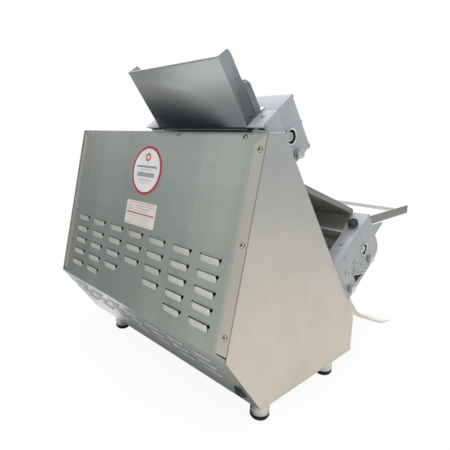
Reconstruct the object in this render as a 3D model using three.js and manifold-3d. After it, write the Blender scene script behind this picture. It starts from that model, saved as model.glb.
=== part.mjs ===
// Two-stage table-top dough sheeter: a stainless drive housing with an offset
// upper rolling head, a wide lower rolling head and sheet-metal chutes and trays.
// Millimetres, +Z up, operator side (front) towards -Y, left is -X, origin on the
// ground at the middle of the overall box.
// Unless noted, a point is a (y, z) pair and an x range is [left, right].
import * as THREE from 'three';
import { mergeVertices } from 'three/addons/utils/BufferGeometryUtils.js';
import Module from 'manifold-3d';

const wasm = await Module();
wasm.setup();

// ---- points and directions in the (y, z) plane ------------------------------
const shift = (point, dir, distance) =>
  [point[0] + dir[0] * distance, point[1] + dir[1] * distance];
const length = (from, to) => Math.hypot(to[0] - from[0], to[1] - from[1]);
const unit = (from, to) => {
  const size = length(from, to);
  return [(to[0] - from[0]) / size, (to[1] - from[1]) / size];
};
const leftNormal = (from, to) => {
  const [y, z] = unit(from, to);
  return [-z, y];
};
const along = (from, to, distance) => shift(from, unit(from, to), distance);
// local coordinates: returns a function from (a, b) to the point a * first + b * second
const frame = (origin, first, second) => (a, b) =>
  shift(shift(origin, first, a), second, b);
const widen = ([start, end], by = 1) => [start - by, end + by];
const around = (middle, half) => [middle - half, middle + half];

// ---- driving dimensions -----------------------------------------------------
const HALF_WIDTH = 300;
const SHEET = 1.5;               // housing sheet
const COVER_SHEET = 1.2;         // rear cover
const TRAY_SHEET = 1.2;          // chutes and trays
const HEAD_WALL = 1.6;           // end boxes and covers of the heads
const GAP = 0.3;                 // clearance between neighbouring pieces
const INNER = HALF_WIDTH - SHEET - GAP;
const INNER_X = [-INNER, INNER]; // between the side panels
const LIPS_X = widen(INNER_X, -6);

// corners of the housing side profile
const TOP_REAR = [270.1, 518.4];
const TOP_FRONT = [230.3, 518.4];
const SLOPE_FOOT = [-50.3, 113.7];
const BASE_FRONT = [-49.6, 32];
const BASE_REAR = [262.5, 32];
const REAR_CORNER = [355.5, 163.9];
const PAN_TOP = BASE_FRONT[1] + SHEET;

// both heads lean back by TILT; head coordinates are (back, down) from the top front corner
const TILT = 35 * Math.PI / 180;
const BACK = [Math.cos(TILT), -Math.sin(TILT)];
const FORWARD = [-BACK[0], -BACK[1]];
const DOWN = [-Math.sin(TILT), -Math.cos(TILT)];
const UP = [-DOWN[0], -DOWN[1]];

const ROLLER_RADIUS = 24;
const ROLLER_GAP = 1.5;
const JOURNAL_RADIUS = 8;
const CENTRES = 2 * ROLLER_RADIUS + ROLLER_GAP;
const SPROCKET_RADIUS = 20;
const OUTPUT_SHAFT = [150, 150];

// Rollers and scrapers are in head coordinates; left and right are x ranges of the end boxes.
const makeHead = (corner, spec) => ({
  ...spec,
  at: frame(corner, BACK, DOWN),
  rearRoller: [spec.frontRoller[0] + CENTRES, spec.frontRoller[1]],
  rollerX: [spec.left[1] + 0.6, spec.right[0] - 0.6],
  plateX: {
    left: [spec.left[1] - 10, spec.left[1] - 2],
    right: [spec.right[0] + 1, spec.right[0] + 9],
  },
});
const upperHead = makeHead([209.0, 575.9], {
  name: 'upper',
  left: [-293, -262],
  right: [-32, 8],
  frontRoller: [35, 56],
  frontScraper: [36.4, 88.3],
  rearScraper: [97, 86],
  seam: 42,            // front cover meets the end boxes here
  coverTop: 57,        // length of the cover sheet backwards
  coverFront: 74,      // and downwards
  gearWidth: 7.5,
  chainX: 18,
  knobX: -27,
  knobStem: 18.5,
});
const lowerHead = makeHead([-93.5, 340.7], {
  name: 'lower',
  left: [-293, -261],
  right: [150, 190],
  frontRoller: [52.6, 58.5],
  frontScraper: [48, 94],
  rearScraper: [139, 93.5],
  seam: 51,
  coverTop: 66,
  coverFront: 78,
  gearWidth: 7,
  chainX: 176,
  knobX: 155,
  knobStem: 32,
});
const HEADS = [upperHead, lowerHead];
const upper = upperHead.at;
const lower = lowerHead.at;

// ---- solids -----------------------------------------------------------------
const toSolid = (source) => {
  const bare = source.clone();
  bare.deleteAttribute('normal');
  bare.deleteAttribute('uv');
  const merged = mergeVertices(bare, 1e-4);
  return new wasm.Manifold(new wasm.Mesh({
    numProp: 3,
    vertProperties: new Float32Array(merged.attributes.position.array),
    triVerts: new Uint32Array(merged.index.array),
  }));
};
const toGeometry = (solid) => {
  const mesh = solid.getMesh();
  const geometry = new THREE.BufferGeometry();
  const positions = new Float32Array(mesh.vertProperties);
  geometry.setAttribute('position', new THREE.BufferAttribute(positions, 3));
  geometry.setIndex(new THREE.BufferAttribute(new Uint32Array(mesh.triVerts), 1));
  return geometry;
};
const join = (...parts) => toGeometry(parts.map(toSolid).reduce((a, b) => a.add(b)));
const cut = (body, ...tools) =>
  toGeometry(tools.map(toSolid).reduce((a, b) => a.subtract(b), toSolid(body)));
const clip = (body, region) => toGeometry(toSolid(body).intersect(toSolid(region)));

const extrude = (outline, depth) => {
  const shape = new THREE.Shape(outline.map(([a, b]) => new THREE.Vector2(a, b)));
  return new THREE.ExtrudeGeometry(shape, { depth, bevelEnabled: false });
};
// a (y, z) outline pushed along x
const prism = (outline, [x0, x1]) => {
  const geometry = extrude(outline, x1 - x0);
  geometry.applyMatrix4(new THREE.Matrix4().set(
    0, 0, 1, x0,
    1, 0, 0, 0,
    0, 1, 0, 0,
    0, 0, 0, 1));
  return geometry;
};
// a rectangle in the local coordinates of a frame, pushed along x
const block = (at, [a0, a1], [b0, b1], rangeX) =>
  prism([at(a0, b0), at(a1, b0), at(a1, b1), at(a0, b1)], rangeX);
// an outline in the plane of x and the (y, z) direction rise, pushed along x cross rise
const slab = (outline, origin, rise, depth) => {
  const geometry = extrude(outline, depth);
  const across = new THREE.Vector3(1, 0, 0);
  const upwards = new THREE.Vector3(0, ...rise);
  const normal = new THREE.Vector3().crossVectors(across, upwards);
  const basis = new THREE.Matrix4().makeBasis(across, upwards, normal);
  geometry.applyMatrix4(basis.setPosition(...origin));
  return geometry;
};
const box = ([x0, x1], [y0, y1], [z0, z1]) => {
  const geometry = new THREE.BoxGeometry(x1 - x0, y1 - y0, z1 - z0);
  geometry.translate((x0 + x1) / 2, (y0 + y1) / 2, (z0 + z1) / 2);
  return geometry;
};
// cylinder between two (x, y, z) points
const cylinder = (from, to, radius, segments = 16) => {
  const start = new THREE.Vector3(...from);
  const end = new THREE.Vector3(...to);
  const span = end.clone().sub(start);
  const geometry = new THREE.CylinderGeometry(radius, radius, span.length(), segments);
  geometry.applyQuaternion(new THREE.Quaternion()
    .setFromUnitVectors(new THREE.Vector3(0, 1, 0), span.normalize()));
  geometry.translate(...start.add(end).multiplyScalar(0.5).toArray());
  return geometry;
};
const cylinderX = (centre, [x0, x1], radius, segments) =>
  cylinder([x0, ...centre], [x1, ...centre], radius, segments);
// closed outline of a sheet laid on the left (positive thickness) of a polyline
const sheetOutline = (line, thickness) => {
  const offset = line.map((point, i) => {
    const before = i > 0 ? leftNormal(line[i - 1], point) : leftNormal(point, line[i + 1]);
    const after = i < line.length - 1 ? leftNormal(point, line[i + 1]) : before;
    const mitre = thickness / (1 + before[0] * after[0] + before[1] * after[1]);
    return shift(shift(point, before, mitre), after, mitre);
  });
  return [...line, ...offset.reverse()];
};

// ---- finishes ---------------------------------------------------------------
const FINISHES = {
  steel: { color: 0xb4b8b4, roughness: 0.38, metalness: 0.9 },
  side: { color: 0xbdb9ae, roughness: 0.42, metalness: 0.85 },
  head: { color: 0xa4a7ae, roughness: 0.45, metalness: 0.75 },
  tray: { color: 0xa9aba8, roughness: 0.35, metalness: 0.9 },
  rubber: { color: 0x161616, roughness: 0.9, metalness: 0.0 },
  plastic: { color: 0x1d2321, roughness: 0.5, metalness: 0.0 },
  polymer: { color: 0xe9e9e4, roughness: 0.55, metalness: 0.0 },
  shaft: { color: 0xc9ccce, roughness: 0.25, metalness: 1.0 },
  iron: { color: 0x55595c, roughness: 0.55, metalness: 0.6 },
  green: { color: 0x1f9a4a, roughness: 0.4, metalness: 0.0 },
  red: { color: 0xc3222a, roughness: 0.4, metalness: 0.0 },
  paint: { color: 0x3d5663, roughness: 0.5, metalness: 0.2 },
  zinc: { color: 0x9b9f9a, roughness: 0.5, metalness: 0.8 },
  bezel: { color: 0x8f9396, roughness: 0.5, metalness: 0.5 },
};
const root = new THREE.Group();
root.name = 'dough_sheeter';
const add = (name, geometry, finish) => {
  const mesh = new THREE.Mesh(geometry, new THREE.MeshStandardMaterial(FINISHES[finish]));
  mesh.name = name;
  root.add(mesh);
};

// ---- housing ----------------------------------------------------------------
const BUTTONS = [
  { name: 'start', centre: [205, 350], radius: 11, capFrom: 296, segments: 20, finish: 'green' },
  { name: 'stop', centre: [205, 316], radius: 15, capFrom: 295, segments: 24, finish: 'red' },
];
const buttonHoles = BUTTONS.map(({ centre, radius, segments }) =>
  cylinderX(centre, [290, 310], radius + 0.5, segments));

// ends of the sloping front edge, moved inwards
const slopeInset = (inset) => {
  const inwards = leftNormal(TOP_FRONT, SLOPE_FOOT);
  return [shift(TOP_FRONT, inwards, inset), shift(SLOPE_FOOT, inwards, inset)];
};

// side is -1 for left, 1 for right
const sidePanel = (side) => {
  const range = (near, far) => (side < 0 ? [-far, -near] : [near, far]);
  const inside = HALF_WIDTH - SHEET;
  const [insetTop, insetFoot] = slopeInset(SHEET);
  const profile = [TOP_REAR, TOP_FRONT, SLOPE_FOOT, BASE_FRONT, BASE_REAR, REAR_CORNER];
  const plate = prism(profile, range(inside, HALF_WIDTH));
  const lip = prism([
    TOP_FRONT, SLOPE_FOOT, BASE_FRONT,
    [BASE_FRONT[0] + SHEET, BASE_FRONT[1]], [SLOPE_FOOT[0] + SHEET, insetFoot[1] + 1], insetTop,
  ], range(HALF_WIDTH - 5.5, inside + 0.2));
  return join(plate, lip);
};
add('side_panel_left', sidePanel(-1), 'side');
add('side_panel_right', cut(sidePanel(1), ...buttonHoles), 'side');

const FEET = {   // (x, y)
  front_left: [-279, 27], front_right: [279, 27],
  rear_left: [-279, 242], rear_right: [200, 242],
};
const basePan = () => cut(
  join(
    box(INNER_X, [-47.8, 259], [BASE_FRONT[1], PAN_TOP]),
    box(INNER_X, [-41.8, -41.8 + SHEET], [33, 52]),
    box(INNER_X, [255, 255 + SHEET], [33, 50])),
  ...Object.values(FEET).map((foot) => cylinder([...foot, 30], [...foot, 36], 4.4, 12)));
add('base_pan', basePan(), 'zinc');

// Rear cover: the upper sheet has columns of louvres, the lower sheet rows of vents.
const COLUMN_PITCH = 75;
const LOUVRE_START = 216;                      // down from the top rear edge
const LOUVRE_PITCH = 28;
const LOUVRE_WIDTH = 46;
const LOUVRE_COUNTS = [5, 5, 4, 3, 4, 5, 5];   // louvres in each column
const VENT_DISTANCES = [27, 52, 78];           // down from the rear corner
const VENT_WIDTH = 42;

// a hood lanced out of the sheet from..to, and its slot; opens is 1 upwards, -1 downwards
const lance = (from, to, distance, width, x, opens) => {
  const dir = unit(from, to).map((part) => part * opens);
  const at = frame(along(from, to, distance), dir, leftNormal(from, to));
  const hoodOutline = [
    at(7, -0.8), at(7, 0.2), at(-5.6, 4.6), at(-6.2, 3.6), at(4.2, -0.8)];
  return {
    hood: prism(hoodOutline, around(x, width / 2)),
    slot: block(at, [-6.4, 3.4], [-3, 1], around(x, width / 2 + 3.5)),
  };
};
const rearCover = () => {
  const lances = [];
  LOUVRE_COUNTS.forEach((count, column) => {
    const x = (3 - column) * COLUMN_PITCH;
    for (let row = 0; row < count; row++) {
      const distance = LOUVRE_START + row * LOUVRE_PITCH;
      lances.push(lance(TOP_REAR, REAR_CORNER, distance, LOUVRE_WIDTH, x, 1));
    }
  });
  for (let column = -3; column <= 3; column++) {
    for (const distance of VENT_DISTANCES) {
      const x = column * COLUMN_PITCH;
      lances.push(lance(REAR_CORNER, BASE_REAR, distance, VENT_WIDTH, x, -1));
    }
  }
  const line = [TOP_REAR, REAR_CORNER, BASE_REAR.map((value) => value + 0.4)];
  let solid = toSolid(prism(sheetOutline(line, -COVER_SHEET), INNER_X));
  for (const { slot } of lances) solid = solid.subtract(toSolid(slot));
  for (const { hood } of lances) solid = solid.add(toSolid(hood));
  return toGeometry(solid);
};
add('rear_cover', rearCover(), 'steel');

// top strip of the housing beside the upper head
const topRail = () => {
  const rangeX = [upperHead.right[1] + 3, LIPS_X[1]];
  const rear = TOP_REAR[0] - 2.5;
  const top = TOP_REAR[1] - 0.5;
  return join(
    box(rangeX, [TOP_FRONT[0] + 4, rear], [top - SHEET, top]),
    box(rangeX, [rear - SHEET, rear], [503, 517]));
};
add('top_rail', topRail(), 'zinc');

// sloping front wall with the openings for both heads and the transfer chute
const frontWall = () => {
  const inset = 3.2;
  const bottom = 54;
  const outerY = BASE_FRONT[0] + inset;
  const [outerTop, outerFoot] = slopeInset(inset);
  const [innerTop, innerFoot] = slopeInset(inset + SHEET);
  const wall = prism([
    outerTop, outerFoot, [outerY, outerFoot[1] + 1], [outerY, bottom],
    [outerY + SHEET, bottom], [outerY + SHEET, innerFoot[1] + 1.5], innerTop,
  ], LIPS_X);
  const outerLeft = upperHead.left[0] - 30;
  return cut(wall,
    box([outerLeft, upperHead.right[1] + 1], [100, 300], [452, 560]),
    box([-262, 150], [100, 300], [424, 453]),
    box([outerLeft, -261.5], [160, 300], [440, 453]),
    ...[lowerHead.left, lowerHead.right].map((rangeX) =>
      block(lower, [120, 200], [-1.2, 117.2], widen(rangeX))),
    box([upperHead.right[1] - 10, INNER], [200, 300], [510, 530]));
};
add('front_wall', frontWall(), 'zinc');

// Feet, turned about a vertical axis; profiles are (radius, z).
const SLEEVE_PROFILE = [
  [0, 10.2], [17, 10.2], [18, 11.5], [18, 30], [16.5, 31.7], [4, 31.7], [4, 40], [0, 40]];
const PAD_PROFILE = [[0, 0], [14.5, 0], [18.5, 6.5], [18.5, 9.2], [17.5, 9.9], [0, 9.9]];
const turned = (profile, [x, y]) => {
  const geometry = new THREE.LatheGeometry(profile.map((p) => new THREE.Vector2(...p)), 14);
  geometry.rotateX(Math.PI / 2);
  geometry.translate(x, y, 0);
  return toGeometry(toSolid(geometry));
};
for (const [place, foot] of Object.entries(FEET)) {
  add('foot_sleeve_' + place, turned(SLEEVE_PROFILE, foot), 'shaft');
  add('foot_pad_' + place, turned(PAD_PROFILE, foot), 'rubber');
}

// ---- drive ------------------------------------------------------------------
const gearbox = () => cut(
  join(
    box([62, 128], [104, 196], [60, 196]),
    box([52, 138], [104.5, 204], [PAN_TOP + GAP, 62]),
    cylinderX(OUTPUT_SHAFT, [56, 134], 30, 20)),
  cylinderX(OUTPUT_SHAFT, [40, 150], 8.5));
add('gearbox', gearbox(), 'iron');

// flange, body and end cap on one axis along y, with a box on the right side
const motor = () => {
  const onAxis = (y) => [95, y, 100];
  return join(
    cylinder(onAxis(103.7), onAxis(94), 44, 20),
    cylinder(onAxis(95), onAxis(0), 48, 24),
    cylinder(onAxis(1), onAxis(-8), 40, 20),
    box([126, 160], [30, 78], [84, 120]));
};
add('motor', motor(), 'paint');

const sprocket = (centre, x) => cylinderX(centre, around(x, 3), SPROCKET_RADIUS, 22);
const driveShaft = () => join(
  cylinderX(OUTPUT_SHAFT, [upperHead.chainX - 8, lowerHead.chainX + 8], 8),
  ...HEADS.map((head) => sprocket(OUTPUT_SHAFT, head.chainX)));
add('drive_shaft', driveShaft(), 'shaft');

// plain band round the output sprocket and the rear roller's sprocket
const chain = (head) => {
  const innerRadius = 20.6;
  const outerRadius = 26.2;
  const arcSteps = 12;
  const far = head.at(...head.rearRoller);
  const angle = Math.atan2(far[1] - OUTPUT_SHAFT[1], far[0] - OUTPUT_SHAFT[0]);
  const arc = (centre, radius, start) => Array.from({ length: arcSteps + 1 }, (_, i) => {
    const turn = start + Math.PI * i / arcSteps;
    return [centre[0] + radius * Math.cos(turn), centre[1] + radius * Math.sin(turn)];
  });
  const loop = (radius) => [
    ...arc(far, radius, angle - Math.PI / 2),
    ...arc(OUTPUT_SHAFT, radius, angle + Math.PI / 2),
  ];
  return cut(
    prism(loop(outerRadius), around(head.chainX, 4)),
    prism(loop(innerRadius), around(head.chainX, 5)));
};
for (const head of HEADS) add('chain_' + head.name, chain(head), 'iron');

// ---- controls ---------------------------------------------------------------
// box on the inside of the right panel, open towards the panel
add('control_box', cut(
  box([252, 292], [176, 234], [290, 376]),
  box([254, 293], [178, 232], [292, 374])), 'zinc');
add('control_bezel', cut(
  box([HALF_WIDTH + GAP, HALF_WIDTH + 1.6], [177, 233], [290, 378]),
  ...buttonHoles), 'bezel');
for (const { name, centre, radius, capFrom, segments, finish } of BUTTONS) {
  add(name + '_button', join(
    cylinderX(centre, [270, 297], 8),
    cylinderX(centre, [capFrom, 303], radius, segments)), finish);
}

// plate and round boss on the lower rear sheet
const powerInlet = () => {
  const x = -272;
  const halfWidth = 9;
  const halfHeight = 13;
  const faceOffset = [3.4, 3.3];   // y and z factors of the outward normal
  const seat = along(REAR_CORNER, BASE_REAR, 116);
  const outwards = leftNormal(REAR_CORNER, BASE_REAR);
  const face = seat.map((value, i) => value + outwards[i] * faceOffset[i]);
  const outline = [
    [-halfWidth, -halfHeight], [halfWidth, -halfHeight],
    [halfWidth, halfHeight], [-halfWidth, halfHeight],
  ];
  return join(
    slab(outline, [x, ...face], unit(BASE_REAR, REAR_CORNER), 3),
    cylinder([x, ...shift(seat, outwards, 2)], [x, ...shift(seat, outwards, 7)], 5.5, 14));
};
add('power_inlet', powerInlet(), 'plastic');

// ---- end boxes and front covers of the heads --------------------------------
const SEAM_HALF_GAP = 0.25;
const upperOutline = [
  upper(0, 0), upper(88, 0), [266, 521.6], [266, 431], [253.5, 422.8], upper(0, 100.7)];
const upperCavity = [
  upper(HEAD_WALL, HEAD_WALL), upper(86, HEAD_WALL),
  [266 - HEAD_WALL, 523.6 - 2 * HEAD_WALL], [266 - HEAD_WALL, 432],
  [253, 422.8 + HEAD_WALL], upper(HEAD_WALL, 100.7 - HEAD_WALL),
];
const lowerOutline = [
  lower(0, 0), lower(190, 0), lower(190, 116), lower(24, 116), lower(8, 108), lower(0, 97)];
const lowerInset = (inset, rear) => [
  lower(inset, inset), lower(rear, inset), lower(rear, 116 - inset),
  lower(24.6, 116 - inset), lower(8.9, 107.4 - inset), lower(inset, 96.2),
];
const lowerCavity = lowerInset(HEAD_WALL, 191);

// end housings closed on the outer side and open towards the rollers
const leftShell = (head, outline, cavity, scrapers) => {
  const [outer, inner] = head.left;
  const holeX = around(outer, 5);
  return cut(
    cut(prism(outline, head.left), prism(cavity, [outer + HEAD_WALL, inner + 1])),
    cylinderX(head.at(...head.frontRoller), holeX, 15, 20),
    ...scrapers.map((scraper) => cylinderX(head.at(...scraper), holeX, 4, 12)));
};
const rightShell = (head, outline, cavity) => {
  const [inner, outer] = head.right;
  return cut(prism(outline, head.right), prism(cavity, [inner - 1, outer - HEAD_WALL]));
};

// everything of a head between two distances back from its front
const headPart = (head, backRange) => block(head.at, backRange, [-30, 150], [-320, 320]);

const addShells = (head, left, right, ears = [], holes = []) => {
  const { name, at, seam, knobX } = head;
  const behind = seam + SEAM_HALF_GAP;
  const rearPart = headPart(head, [behind, 300]);
  const frontPart = headPart(head, [-10, seam - SEAM_HALF_GAP]);
  add(name + '_end_box_left', clip(left, rearPart), 'head');
  add(name + '_end_box_right', clip(right, rearPart), 'head');

  // the bent sheet between the two end caps
  const sheet = prism([
    at(0, 0), at(head.coverTop, 0), at(head.coverTop, HEAD_WALL),
    at(HEAD_WALL, HEAD_WALL), at(HEAD_WALL, head.coverFront), at(0, head.coverFront),
  ], [head.left[1] - 3, head.right[0] + 3]);
  const knobDown = head.frontRoller[1];
  const trim = (rangeX) => block(at, [behind, 90], [-1, 3], rangeX);
  add(name + '_front_cover', cut(
    join(clip(left, frontPart), clip(right, frontPart), sheet, ...ears),
    cylinder([knobX, ...at(-5, knobDown)], [knobX, ...at(6, knobDown)], 5, 14),
    ...holes,
    trim([head.left[0] - 1, head.left[1] + GAP]),
    trim([head.right[0] - GAP, head.right[1] + 1])), 'head');
};

addShells(upperHead,
  leftShell(upperHead, upperOutline, upperCavity, [upperHead.frontScraper]),
  cut(rightShell(upperHead, upperOutline, upperCavity),
    cylinderX(upper(...upperHead.rearRoller), around(upperHead.right[1], 5), 11, 20),
    box([upperHead.right[0] - 1, upperHead.right[1] - HEAD_WALL], [262, 270], [434, 515])));

// ears on the lower front cover that carry the front tray's hinge pins
const TRAY_PIN = [-128, 302];
const EARS_X = [-275, 130];
const EAR_OUTLINE = [
  [-130, 262], [-148, 262], [-203, 301], [-203, 303.4], [-137, 303.4], [-134, 299], [-112, 299]];
const trayEar = (x) => {
  const rangeX = [x, x + 3];
  const ear = cut(
    join(prism(EAR_OUTLINE, rangeX), cylinderX(TRAY_PIN, rangeX, 4.6)),
    cylinderX(TRAY_PIN, widen(rangeX), 2, 12));
  return cut(ear, block(lower, [HEAD_WALL, 90], [-5, 150], [-300, 200]));
};
const CLAMP_X = -278;
const CLAMP_BACK = 43;
addShells(lowerHead,
  leftShell(lowerHead, lowerOutline, lowerCavity,
    [lowerHead.frontScraper, lowerHead.rearScraper]),
  rightShell(lowerHead, lowerOutline, lowerCavity),
  EARS_X.map(trayEar),
  [cylinder([CLAMP_X, ...lower(CLAMP_BACK, -5)], [CLAMP_X, ...lower(CLAMP_BACK, 5)], 3.6, 12)]);

// ---- bearings, rollers and gears --------------------------------------------
upperHead.plateOutline = [
  upper(2.2, 2.2), upper(64, 2.2), [263.6, 532], [263.6, 436], [253, 427.5], upper(2.2, 98.2)];
lowerHead.plateOutline = lowerInset(2.2, 150);

// bearing plate with a slot for the sliding block and a bore for the driven roller
const BORE_RADIUS = JOURNAL_RADIUS + 0.35;
const bearingPlate = (head, rangeX) => {
  const { at, frontRoller: [back, down] } = head;
  const through = widen(rangeX);
  return cut(prism(head.plateOutline, rangeX),
    block(at, [-5, back + 15.5], around(down, 12.9), through),
    cylinderX(at(...head.rearRoller), through, BORE_RADIUS, 20),
    ...[head.frontScraper, head.rearScraper].map((scraper) =>
      cylinderX(at(...scraper), through, 3.9, 12)));
};
// sliding bearing block of the adjustable front roller
const slider = ({ at, frontRoller: [back, down] }, rangeX) => cut(
  block(at, around(back, 13), around(down, 12.5), rangeX),
  cylinderX(at(back, down), widen(rangeX), BORE_RADIUS, 20));

for (const [piece, build, finish] of [
  ['bearing_plate', bearingPlate, 'polymer'], ['slider', slider, 'iron'],
]) {
  for (const head of HEADS) {
    for (const side of ['left', 'right']) {
      add(`${head.name}_${piece}_${side}`, build(head, head.plateX[side]), finish);
    }
  }
}

const roller = (head, position, shaftEnd, ...extras) => {
  const centre = head.at(...position);
  return join(
    cylinderX(centre, head.rollerX, ROLLER_RADIUS, 24),
    cylinderX(centre, [head.plateX.left[0] - 6, shaftEnd], JOURNAL_RADIUS),
    ...extras);
};
for (const head of HEADS) {
  const shaftEnd = head.plateX.right[1] + 9.2;
  add(head.name + '_front_roller', roller(head, head.frontRoller, shaftEnd), 'polymer');
}
for (const head of HEADS) {
  const wheel = sprocket(head.at(...head.rearRoller), head.chainX);
  add(head.name + '_rear_roller',
    roller(head, head.rearRoller, head.chainX + 6, wheel), 'polymer');
}

// meshing gears beside the right bearing plates
const GEAR_TEETH = 15;
const TIP_RADIUS = CENTRES / 2 + 2.0;
const ROOT_RADIUS = CENTRES / 2 - 3.3;
const TOOTH = [   // (offset in tooth pitches, radius)
  [-0.32, ROOT_RADIUS], [-0.13, TIP_RADIUS], [0.13, TIP_RADIUS], [0.32, ROOT_RADIUS]];
const gear = (head, position, phase) => {
  const centre = head.at(...position);
  const plateEnd = head.plateX.right[1];
  const rangeX = [plateEnd + 1.5, plateEnd + 1.5 + head.gearWidth];
  const pitch = 2 * Math.PI / GEAR_TEETH;
  const outline = [];
  for (let i = 0; i < GEAR_TEETH; i++) {
    for (const [offset, radius] of TOOTH) {
      const angle = phase + (i + offset) * pitch;
      outline.push([centre[0] + radius * Math.cos(angle), centre[1] + radius * Math.sin(angle)]);
    }
  }
  return cut(prism(outline, rangeX),
    cylinderX(centre, widen(rangeX), JOURNAL_RADIUS + 0.3, 20));
};
for (const head of HEADS) {
  // a tooth of the front gear points at the rear gear, which turns a gap to it
  const rearPhase = -TILT + Math.PI + Math.PI / GEAR_TEETH;
  add(head.name + '_front_gear', gear(head, head.frontRoller, -TILT), 'iron');
  add(head.name + '_rear_gear', gear(head, head.rearRoller, rearPhase), 'iron');
}

// ---- scrapers ---------------------------------------------------------------
// rod with a thin blade reaching to tip; a gripped one ends in a knob outside the left box
const scraper = (head, position, tip, gripped) => {
  const centre = head.at(...position);
  const edge = head.at(...tip);
  const blade = frame(centre, unit(centre, edge), leftNormal(centre, edge));
  const rodStart = gripped ? -294 : head.plateX.left[0] - 3;
  const parts = [
    cylinderX(centre, [rodStart, head.plateX.right[1]], 3.5, 14),
    block(blade, [0, length(centre, edge)], [-0.7, 0.7], widen(head.rollerX, -1)),
  ];
  if (gripped) {
    parts.push(
      cylinderX(centre, [-303, -295], 8.5, 20),
      cylinderX(centre, [-295.1, -293.4], 5.5, 14));
  }
  return join(...parts);
};
for (const [head, place, tip, gripped] of [
  [upperHead, 'front', [41, 79.9], true],
  [upperHead, 'rear', [86, 80.65], false],
  [lowerHead, 'front', [57, 82.7], true],
  [lowerHead, 'rear', [117, 78.2], true],
]) {
  add(`${head.name}_${place}_scraper`,
    scraper(head, head[place + 'Scraper'], tip, gripped), 'shaft');
}

// ---- knobs ------------------------------------------------------------------
// lobed knob standing 4 off its seat along dir, with a neck and a stem into the seat
const knob = ({ x, seat, dir, radius, height, stem, stemRadius, lobes }) => {
  const count = lobes * 6;
  const ripple = 0.09;
  const outline = Array.from({ length: count }, (_, i) => {
    const angle = 2 * Math.PI * i / count;
    const reach = radius * (1 + ripple * Math.cos(lobes * angle)) / (1 + ripple);
    return [reach * Math.cos(angle), reach * Math.sin(angle)];
  });
  const onAxis = (distance) => [x, ...shift(seat, dir, distance)];
  return join(
    slab(outline, onAxis(4), [dir[1], -dir[0]], height),
    cylinder(onAxis(0.8), onAxis(5), radius * 0.5, 14),
    cylinder(onAxis(-stem), onAxis(5), stemRadius, 12));
};
for (const head of HEADS) {
  add(head.name + '_gap_knob', knob({
    x: head.knobX, seat: head.at(0, head.frontRoller[1]), dir: FORWARD,
    radius: 19, height: 14, stem: head.knobStem, stemRadius: 3.4, lobes: 7,
  }), 'plastic');
}
add('clamp_knob', knob({
  x: CLAMP_X, seat: lower(CLAMP_BACK, 0), dir: UP,
  radius: 13.5, height: 13, stem: 8, stemRadius: 2.8, lobes: 6,
}), 'plastic');

// ---- chutes and trays -------------------------------------------------------
// x ranges of the two sheet walls at the ends of a range
const wallsX = ([x0, x1]) => [[x0, x0 + TRAY_SHEET], [x1 - TRAY_SHEET, x1]];
const walls = (outline, rangeX) => wallsX(rangeX).map((wallX) => prism(outline, wallX));

const INFEED_X = [-264, -35];
const infeedChute = () => {
  const rear = 86 + TRAY_SHEET;
  const plate = prism([
    upper(86, -115), upper(rear, -115), upper(rear, 6),
    upper(80, 14), upper(79, 13.2), upper(86, 5.4),
  ], INFEED_X);
  const wall = [
    upper(86.6, -114.6), upper(86.6, -2), upper(60, -2),
    upper(60, -106), upper(62, -111), upper(66, -114),
  ];
  const hem = block(upper, [84.2, 86.4], [-115, -112.5], INFEED_X);
  // clears the left end box
  const notch = block(upper, [40, 100], [-0.5, 30],
    [INFEED_X[0] - 1, upperHead.left[1] + 0.4]);
  return cut(join(plate, ...walls(wall, INFEED_X), hem), notch);
};
add('infeed_chute', infeedChute(), 'tray');

// upright plate in front of the infeed chute, with a foot and two side ears
const infeedGuard = () => {
  const [x0, x1] = INFEED_X;
  const outline = [[x0, 1.5], [x1, 1.5], [x1, 51], [x1 - 6, 57], [x0 + 6, 57], [x0, 51]];
  const ear = [
    upper(47, -0.5), upper(58.6, -0.5), upper(58.6, -58),
    upper(52, -57), upper(48, -51), upper(47, -46),
  ];
  return join(
    slab(outline, [0, ...upper(47.5, -0.4)], [-UP[0], UP[1]].map((v, i) => UP[i]), TRAY_SHEET),
    block(upper, [37, 48.2], [-2.0, -0.4], INFEED_X),
    ...walls(ear, INFEED_X));
};
add('infeed_guard', infeedGuard(), 'tray');

// chute from the upper head down to the lower head
const transferChute = () => {
  const start = [196, 441.8];
  const end = [-85.5, 337.1];
  const rangeX = [-258, 146];
  const run = length(start, end);
  const at = frame(start, unit(start, end), leftNormal(end, start));   // (along, above)
  const wall = [at(2, 0.4), at(run, 0.4), at(run, 9), at(run - 4, 11), at(2, 11)];
  return join(
    block(at, [0, run], [0, TRAY_SHEET], rangeX),
    block(at, [-26, 1], [0, TRAY_SHEET], [-257, -37]),
    block(at, [run - 7.2, run - 6], [-6.5, 0.6], rangeX),
    ...walls(wall, rangeX));
};
add('transfer_chute', transferChute(), 'tray');

// flat tray hung from the ears of the lower front cover
const frontTray = () => {
  const rangeX = [-270, 128];
  const rear = -124.5;
  const front = -355.5;
  const bottom = 304;
  const [pinY, pinZ] = TRAY_PIN;
  const wall = [
    [front, bottom], [front, bottom + 22], [rear - 12, bottom + 22],
    [rear - 1, bottom + 12], [rear - 1, bottom],
  ];
  const lug = [
    [rear - 0.5, bottom + 0.6], [rear - 0.5, pinZ - 2.5], [pinY, pinZ - 4],
    [pinY - 4, pinZ - 2], [pinY - 4, bottom + 0.6],
  ];
  return join(
    box(rangeX, [front, rear], [bottom, bottom + TRAY_SHEET]),
    ...walls(wall, rangeX),
    box(rangeX, [front, front + TRAY_SHEET], [bottom, bottom + 9]),
    cylinderX(TRAY_PIN, [EARS_X[0] - 1.5, rangeX[0] + TRAY_SHEET], 1.7, 12),
    cylinderX(TRAY_PIN, [rangeX[1] - TRAY_SHEET, EARS_X[1] + 4.5], 1.7, 12),
    ...walls(lug, rangeX));
};
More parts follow.
